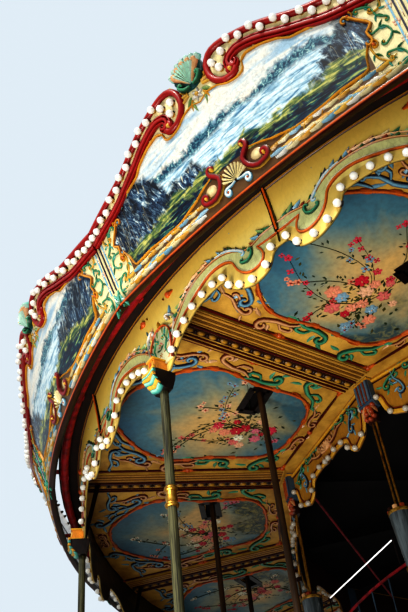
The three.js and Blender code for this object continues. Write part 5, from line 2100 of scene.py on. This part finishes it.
def finial():
    """A gilded turned finial, with red lobes on its round body."""
    foot = FINIAL_FOOT + SEAT
    shape = ((0.500, 0.0), (0.505, 0.02), (0.500, 0.05), (0.40, 0.062), (0.30, 0.075), (0.25, 0.10),
             (0.19, 0.13), (0.145, 0.17), (0.14, 0.20), (0.19, 0.225), (0.16, 0.245), (0.20, 0.27),
             (0.27, 0.31), (0.315, 0.36), (0.32, 0.40), (0.30, 0.44), (0.25, 0.48), (0.19, 0.51),
             (0.14, 0.54), (0.12, 0.58), (0.16, 0.60), (0.12, 0.62), (0.08, 0.68), (0.055, 0.78),
             (0.040, 0.90), (0.012, 1.0))
    carving = Carving()
    profile = [(radius * FINIAL_HEIGHT, foot + rise * FINIAL_HEIGHT) for radius, rise in shape]
    turned(carving, profile, GOLD, 28)
    for lobe in range(14):
        angle = lobe * math.tau / 14
        points = []
        for lean in np.linspace(-1.0, 1.0, 7):
            radius = 0.190 * math.cos(lean * 0.9) + 0.010
            points.append((radius * math.sin(angle), -radius * math.cos(angle), foot + 0.236 + 0.085 * lean))
        for low, high in zip(points, points[1:]):
            start = np.array(low)
            end = np.array(high)
            outward = np.array((math.sin(angle), -math.cos(angle), 0.0)) * 0.010
            side = np.array((math.cos(angle), math.sin(angle), 0.0)) * 0.016
            carving.add([start - side, start + side, start + outward, end - side, end + side, end + outward],
                        [(0, 2, 1), (3, 4, 5), (0, 3, 5, 2), (1, 2, 5, 4), (0, 1, 4, 3)], [RED] * 6)
    return carving


def roof_deck():
    """The boarded deck over the ceiling, the king tube, and the sweeps that show over the open centre."""
    carving = Carving()
    turned(carving, ((0.160, 4.9583), (4.880, 4.9583), (4.880, 4.9903), (0.200, 4.9903), (0.200, 7.790),
                     (0.160, 7.790)), BLACK, PLAIN_SIDES, closed=True)
    for bay in range(BAYS):
        start = len(carving.points)
        block(carving, 0.270, 2.950, 4.862, 4.960, 0.040, BROWN)
        block(carving, 0.270, 2.950, 4.855, 4.863, 0.056, BROWN)
        carving.swing(bay * BAY_ANGLE, start)
    return carving


# Platform

DECK_INNER = 3.000
DECK_OUTER = 5.050
PLANKS = 16
PLANK_PITCH = 0.1281615
PLANK_GAP = 0.004
PLANK_THICKNESS = 0.038
SKIRT_OUTER = 5.0743
SKIRT_FOOT = 0.140
SKIRT_HEAD = 0.425
SKIRT_WIDTH = SKIRT_OUTER * BAY_ANGLE


def deck_bay():
    """The planks of one bay, cut to the bay's edges."""
    carving = Carving()
    for index in range(PLANKS):
        near = DECK_INNER + index * PLANK_PITCH
        far = near + PLANK_PITCH - PLANK_GAP
        points = []
        sides = 5
        for height in (DECK_TOP, DECK_TOP - PLANK_THICKNESS):
            for radius in (near, far):
                for step in range(sides):
                    angle = (step / (sides - 1) - 0.5) * (BAY_ANGLE - 0.0012)
                    points.append((radius * math.sin(angle), -radius * math.cos(angle), height))
        faces = []
        under = 2 * sides
        for step in range(sides - 1):
            faces.append((sides + step, sides + step + 1, step + 1, step))
            faces.append((under + step, under + step + 1, under + sides + step + 1, under + sides + step))
            faces.append((step, step + 1, under + step + 1, under + step))
            faces.append((under + sides + step, under + sides + step + 1, sides + step + 1, sides + step))
        faces.append((0, under, under + sides, sides))
        last = sides - 1
        faces.append((last, sides + last, under + sides + last, under + last))
        carving.add(points, faces, [WHITE] * len(points))
    return carving


def deck_frame():
    """The steel rings and bearers under the planks, and the brass nosings."""
    carving = Carving()
    for inner, outer in ((DECK_INNER, 3.040), (3.980, 4.040), (5.010, DECK_OUTER)):
        ring(carving, inner, outer, 0.300, 0.3815, BLACK, PLAIN_SIDES)
    for bay in range(BAYS):
        start = len(carving.points)
        block(carving, 3.030, 5.020, 0.310, 0.3810, 0.030, BLACK)
        carving.swing(bay * BAY_ANGLE, start)
    carving.current = 1
    for inner, outer in ((2.9995, 3.030), (5.020, 5.0505)):
        ring(carving, inner, outer, 0.400, 0.4225, GOLD)
    return carving


def skirt_sheet():
    """The plain sheet under the skirt's carving."""
    carving = Carving()
    ring(carving, DECK_OUTER + SEAT, SKIRT_OUTER, SKIRT_FOOT, SKIRT_HEAD, (BROWN, MUSTARD, MUSTARD, BROWN))
    return carving


def skirt_trim():
    """Mouldings, a painted panel, scrolls and a shell on one bay of the skirt."""
    carving = Carving()
    edge = np.linspace(0, SKIRT_WIDTH / 2, 12)
    sweep(carving, [(across, 0.408) for across in edge], LOW_ROUND, 0.030, 0.016, RED_SECTION)
    sweep(carving, [(across, 0.158) for across in edge], LOW_ROUND, 0.030, 0.016, RED_SECTION)
    frame = smooth(((0.0, 0.375), (0.40, 0.372), (0.62, 0.345), (0.70, 0.282), (0.62, 0.220), (0.40, 0.194),
                    (0.0, 0.190)), 0.07)
    sweep(carving, frame, LOW_ROUND, 0.020, 0.014, GOLD_SECTION)
    flourish(carving, (0.760, 0.316), 0.0, 0.85, BLUE_SECTION, -1, (BRONZE, GOLD))
    flourish(carving, (0.760, 0.246), 0.0, 0.85, CLAY_SECTION, 1, (BRONZE, GOLD))
    carving.mirror()
    columns = []
    for across in np.linspace(-0.69, 0.69, 23):
        rise = 0.083 * max(0.0, 1 - (across / 0.69) ** 2) ** 0.25
        columns.append((across, 0.283 - rise, 0.283 + rise + CLEAR))
    start = len(carving.points)
    slab(carving, columns, 2, 0.006, SLATE, SLATE)
    carving.lift(0.003, start)
    fan(carving, (0.0, 0.235), 0.085, 1.2, 9, 0.024, IVORY, TERRACOTTA)
    for side in (-1, 1):
        for index in range(4):
            lean = 0.15 + 0.42 * index
            frond(carving, (side * 0.05, 0.245), lean if side > 0 else math.pi - lean, 0.14 - 0.012 * index,
                  0.034, -side * 0.2, FEATHERS[(index * 2) % len(FEATHERS)], 0.014)
        for across in (0.24, 0.34, 0.44):
            bloom(carving, (side * across, 0.283 + 0.012 * math.sin(across * 40)), 0.032, (TERRACOTTA, PEACH),
                  (BRONZE, YELLOW), turn=across * 9)
    return carving


def skirt_post():
    """The carved pilaster on the skirt under each outer post."""
    carving = Carving()
    sweep(carving, [(0.0, 0.150), (0.0, 0.28), (0.0, 0.418)], FILLET, 0.110, 0.014, RED)
    for up, radius in ((0.205, 0.022), (0.283, 0.032), (0.361, 0.022)):
        dome(carving, (0.0, up), radius, 0.030, (BRONZE, YELLOW), sides=12)
    return carving


# Fixed centre

MAST_RADIUS = 0.110
HOUSE_OUTER = 2.900
HOUSE_FACE = HOUSE_OUTER - 0.006
HOUSE_WALL = 0.054
HOUSE_FOOT = 0.1503
HOUSE_HEAD = 2.6497
HOUSE_PANEL = HOUSE_OUTER * BAY_ANGLE
GALLERY_FOOT = 2.650
GALLERY_TOP = 2.690
RAIL_CIRCLE = 2.940
RAIL_HEIGHT = 3.632
BALUSTERS = 6  # to a bay


def centre_house():
    """The dark wall of the centre house."""
    carving = Carving()
    ring(carving, HOUSE_FACE - HOUSE_WALL, HOUSE_FACE, HOUSE_FOOT, HOUSE_HEAD, RED)
    return carving


def house_trim():
    """Pilasters, mouldings and a framed panel on one bay of the centre house."""
    carving = Carving()
    half = HOUSE_PANEL / 2
    for across in (half - 0.020, 0.030):
        sweep(carving, [(across, 0.30), (across, 2.46)], FILLET, 0.036, 0.020, GOLD)
    for up, high in ((0.21, 0.10), (0.32, 0.03), (2.44, 0.03), (2.54, 0.09)):
        sweep(carving, [(across, up) for across in np.linspace(0, half, 6)], LOW_ROUND, high, 0.028,
              GOLD_SECTION if high < 0.05 else RED_SECTION)
    for low, high, paint in ((0.42, 0.98, GOLD_SECTION), (1.10, 2.32, GOLD_SECTION)):
        frame_line = smooth(((0.10, low + 0.06), (0.16, low), (0.33, low), (half - 0.16, low),
                             (half - 0.10, low + 0.06), (half - 0.10, (low + high) / 2),
                             (half - 0.10, high - 0.06), (half - 0.16, high), (0.33, high), (0.16, high),
                             (0.10, high - 0.06), (0.10, (low + high) / 2)), 0.12, True)
        sweep(carving, frame_line, LOW_ROUND, 0.026, 0.016, paint, closed=True)
    middle = (0.05 + half) / 2 - 0.01
    for up, tall in ((0.70, 0.14), (1.71, 0.30)):
        dome(carving, (middle, up), (0.10, tall), 0.014, (NAVY, SLATE), sides=16)
        for index in range(8):
            angle = index * math.tau / 8
            spot = (middle + 0.11 * math.cos(angle), up + (tall + 0.01) * math.sin(angle))
            frond(carving, spot, angle, 0.08, 0.032, 0.2, FEATHERS[index % len(FEATHERS)], 0.014)
    carving.mirror()
    return carving


def gallery():
    """The floor on top of the centre house."""
    carving = Carving()
    hole = MAST_RADIUS + SEAT
    turned(carving, ((hole, GALLERY_FOOT), (2.960, GALLERY_FOOT), (2.978, 2.660), (2.980, 2.675),
                     (2.972, GALLERY_TOP), (hole, GALLERY_TOP)), WHITE, ROUND_SIDES, closed=True)
    return carving


def balustrade():
    """The red handrail and foot rail, on pale-blue turned balusters darkened as painted shade."""
    carving = Carving()
    count = BALUSTERS * BAYS
    foot = GALLERY_TOP + SEAT
    hoop(carving, RAIL_CIRCLE, RAIL_HEIGHT, 0.011, RED, count)
    ring(carving, RAIL_CIRCLE - 0.015, RAIL_CIRCLE + 0.015, foot, foot + 0.030, RED, count)
    carving.current = 1
    for index in range(count):
        angle = index * BAY_ANGLE / BALUSTERS
        turned(carving, ((0.006, 2.716), (0.006, 2.85), (0.010, 2.90), (0.006, 2.96), (0.004, 3.18),
                         (0.009, 3.24), (0.006, 3.30), (0.004, 3.50), (0.007, 3.56), (0.005, 3.626)), WHITE,
               8, (RAIL_CIRCLE * math.sin(angle), -RAIL_CIRCLE * math.cos(angle)))
    return carving


def tube_lamp():
    """A straight white tube lamp over the handrail of one bay, between end caps on two uprights."""
    carving = Carving()
    radius, height, ends = -2.945, 3.818, (-0.580, 0.408)
    rod(carving, (ends[0], radius, height), (ends[1], radius, height), 0.0042, WHITE, 8)
    carving.current = 1
    for side in ends:
        rod(carving, (side - 0.010, radius, height), (side + 0.010, radius, height), 0.008, BLACK, 8)
        rod(carving, (side, -RAIL_CIRCLE, RAIL_HEIGHT + 0.008), (side, radius, height), 0.005, BLACK)
    return carving


# Ties under the sweeps
TIE_PLACE = 3.24  # in bays from post 1
TIE_DISTANCE = 2.53
TIE_HEIGHT = 4.850
TIE_HALF_LENGTH = 1.42


def ties():
    """Four thin dark red ties under the sweeps, square about the mast."""
    carving = Carving()
    for side in range(4):
        angle = (TIE_PLACE + side * BAYS / 4) * -BAY_ANGLE
        outward = np.array((math.sin(angle), -math.cos(angle), 0.0))
        sideways = np.array((math.cos(angle), math.sin(angle), 0.0))
        middle = outward * TIE_DISTANCE + (0, 0, TIE_HEIGHT)
        reach = sideways * TIE_HALF_LENGTH
        rod(carving, middle - reach, middle + reach, 0.011, RED)
    return carving


class CAROUSEL_OT_roof(bpy.types.Operator):
    """Adds the roof gores with their seams, the finial, and the dark deck over the ceiling with its ties."""
    bl_idname = "carousel.roof"
    bl_label = "Roof"

    def execute(self, context):
        for gore in range(GORES):
            name = f"roof_gore_{gore + 1:02d}"
            sheet = finish_of("roof_stripe" if gore % 2 else "roof_sheet")
            mesh = build_mesh(name, roof_gore(), as_drawn, [sheet])
            stand(mesh, name, place=gore / 2, stands_for=() if gore else ("roof_cone",))
        all_round("roof_seams", roof_seams(), ["roof_sheet"])
        all_round("roof_upstand", roof_upstand(), ["black_paint_and_painted_shade"])
        all_round("roof_band", roof_band(), ["red_tube"])
        all_round("finial_turned", finial(), ["gilding"], node="finial")
        all_round("deck_over_ceiling", roof_deck(), ["deep_shade"], node="roof_deck")
        all_round("sweep_ties", ties(), ["red_tube"])
        return {"FINISHED"}


class CAROUSEL_OT_platform(bpy.types.Operator):
    """Adds the planked platform and its painted skirt."""
    bl_idname = "carousel.platform"
    bl_label = "Platform"

    def execute(self, context):
        every_bay("deck_planks", deck_bay(), as_drawn, ["deck_planks"])
        all_round("deck_bearers", deck_frame(), ["steel", "brass"], node="platform_deck")
        all_round("skirt_sheet", skirt_sheet(), ["ground_enamel"], node="platform_skirt")
        surface = on_drum(SKIRT_OUTER)
        every_bay("skirt_trim", skirt_trim(), surface, CARVED, HALF_BAY)
        every_bay("skirt_pilaster", skirt_post(), surface, CARVED)
        return {"FINISHED"}


class CAROUSEL_OT_centre(bpy.types.Operator):
    """Adds the fixed centre: house, gallery, balustrade, mast and tube lamps."""
    bl_idname = "carousel.centre"
    bl_label = "Fixed centre"

    def execute(self, context):
        repaint("centre_base", "steel")
        repaint("centre_mast", "steel")
        all_round("house_wall", centre_house(), ["dark_panel"], FIXED, "centre_house")
        every_bay("house_trim", house_trim(), on_drum(HOUSE_FACE), CARVED,
                  HALF_BAY, FIXED)
        all_round("gallery_boards", gallery(), ["deck_planks"], FIXED, "gallery_floor")
        rails = ["red_tube", "shaded_blue_baluster"]
        all_round("handrail", balustrade(), rails, FIXED, "balustrade")
        lamp = ["tube_glass", "black_paint_and_painted_shade"]
        every_bay("tube_lamp", tube_lamp(), as_drawn, lamp, HALF_BAY, FIXED)
        return {"FINISHED"}


class CAROUSEL_PT_panel(bpy.types.Panel):
    """Lists the pieces of the carousel and their settings."""
    bl_idname = "CAROUSEL_PT_panel"
    bl_label = "Fairground carousel"
    bl_space_type = "VIEW_3D"
    bl_region_type = "UI"
    bl_category = "Carousel"

    def draw(self, context):
        layout = self.layout
        for name, settings in SETTINGS.items():
            group = getattr(context.scene, name)
            box = layout.box()
            for key in settings.__annotations__:
                box.prop(group, key)
        for operator in OPERATORS:
            layout.operator(operator.bl_idname)


SETTINGS = {
    "carousel_stage": StageSettings,
    "carousel_crown": CrownSizes,
    "carousel_lamps": LampSizes,
}
OPERATORS = (
    CAROUSEL_OT_stage,
    CAROUSEL_OT_rounding_boards,
    CAROUSEL_OT_rim,
    CAROUSEL_OT_cornice,
    CAROUSEL_OT_outer_valance,
    CAROUSEL_OT_posts,
    CAROUSEL_OT_ceiling,
    CAROUSEL_OT_inner_valance,
    CAROUSEL_OT_roof,
    CAROUSEL_OT_platform,
    CAROUSEL_OT_centre,
    CAROUSEL_OT_bulbs,
)


def register():
    for settings in SETTINGS.values():
        bpy.utils.register_class(settings)
    for operator in OPERATORS:
        bpy.utils.register_class(operator)
    bpy.utils.register_class(CAROUSEL_PT_panel)
    for name, settings in SETTINGS.items():
        setattr(bpy.types.Scene, name, PointerProperty(type=settings))


def unregister():
    for name in SETTINGS:
        delattr(bpy.types.Scene, name)
    bpy.utils.unregister_class(CAROUSEL_PT_panel)
    for operator in reversed(OPERATORS):
        bpy.utils.unregister_class(operator)
    for settings in reversed(list(SETTINGS.values())):
        bpy.utils.unregister_class(settings)


def main():
    register()
    for operator in OPERATORS:
        family, name = operator.bl_idname.split(".")
        getattr(getattr(bpy.ops, family), name)()


if __name__ == "__main__":
    main()
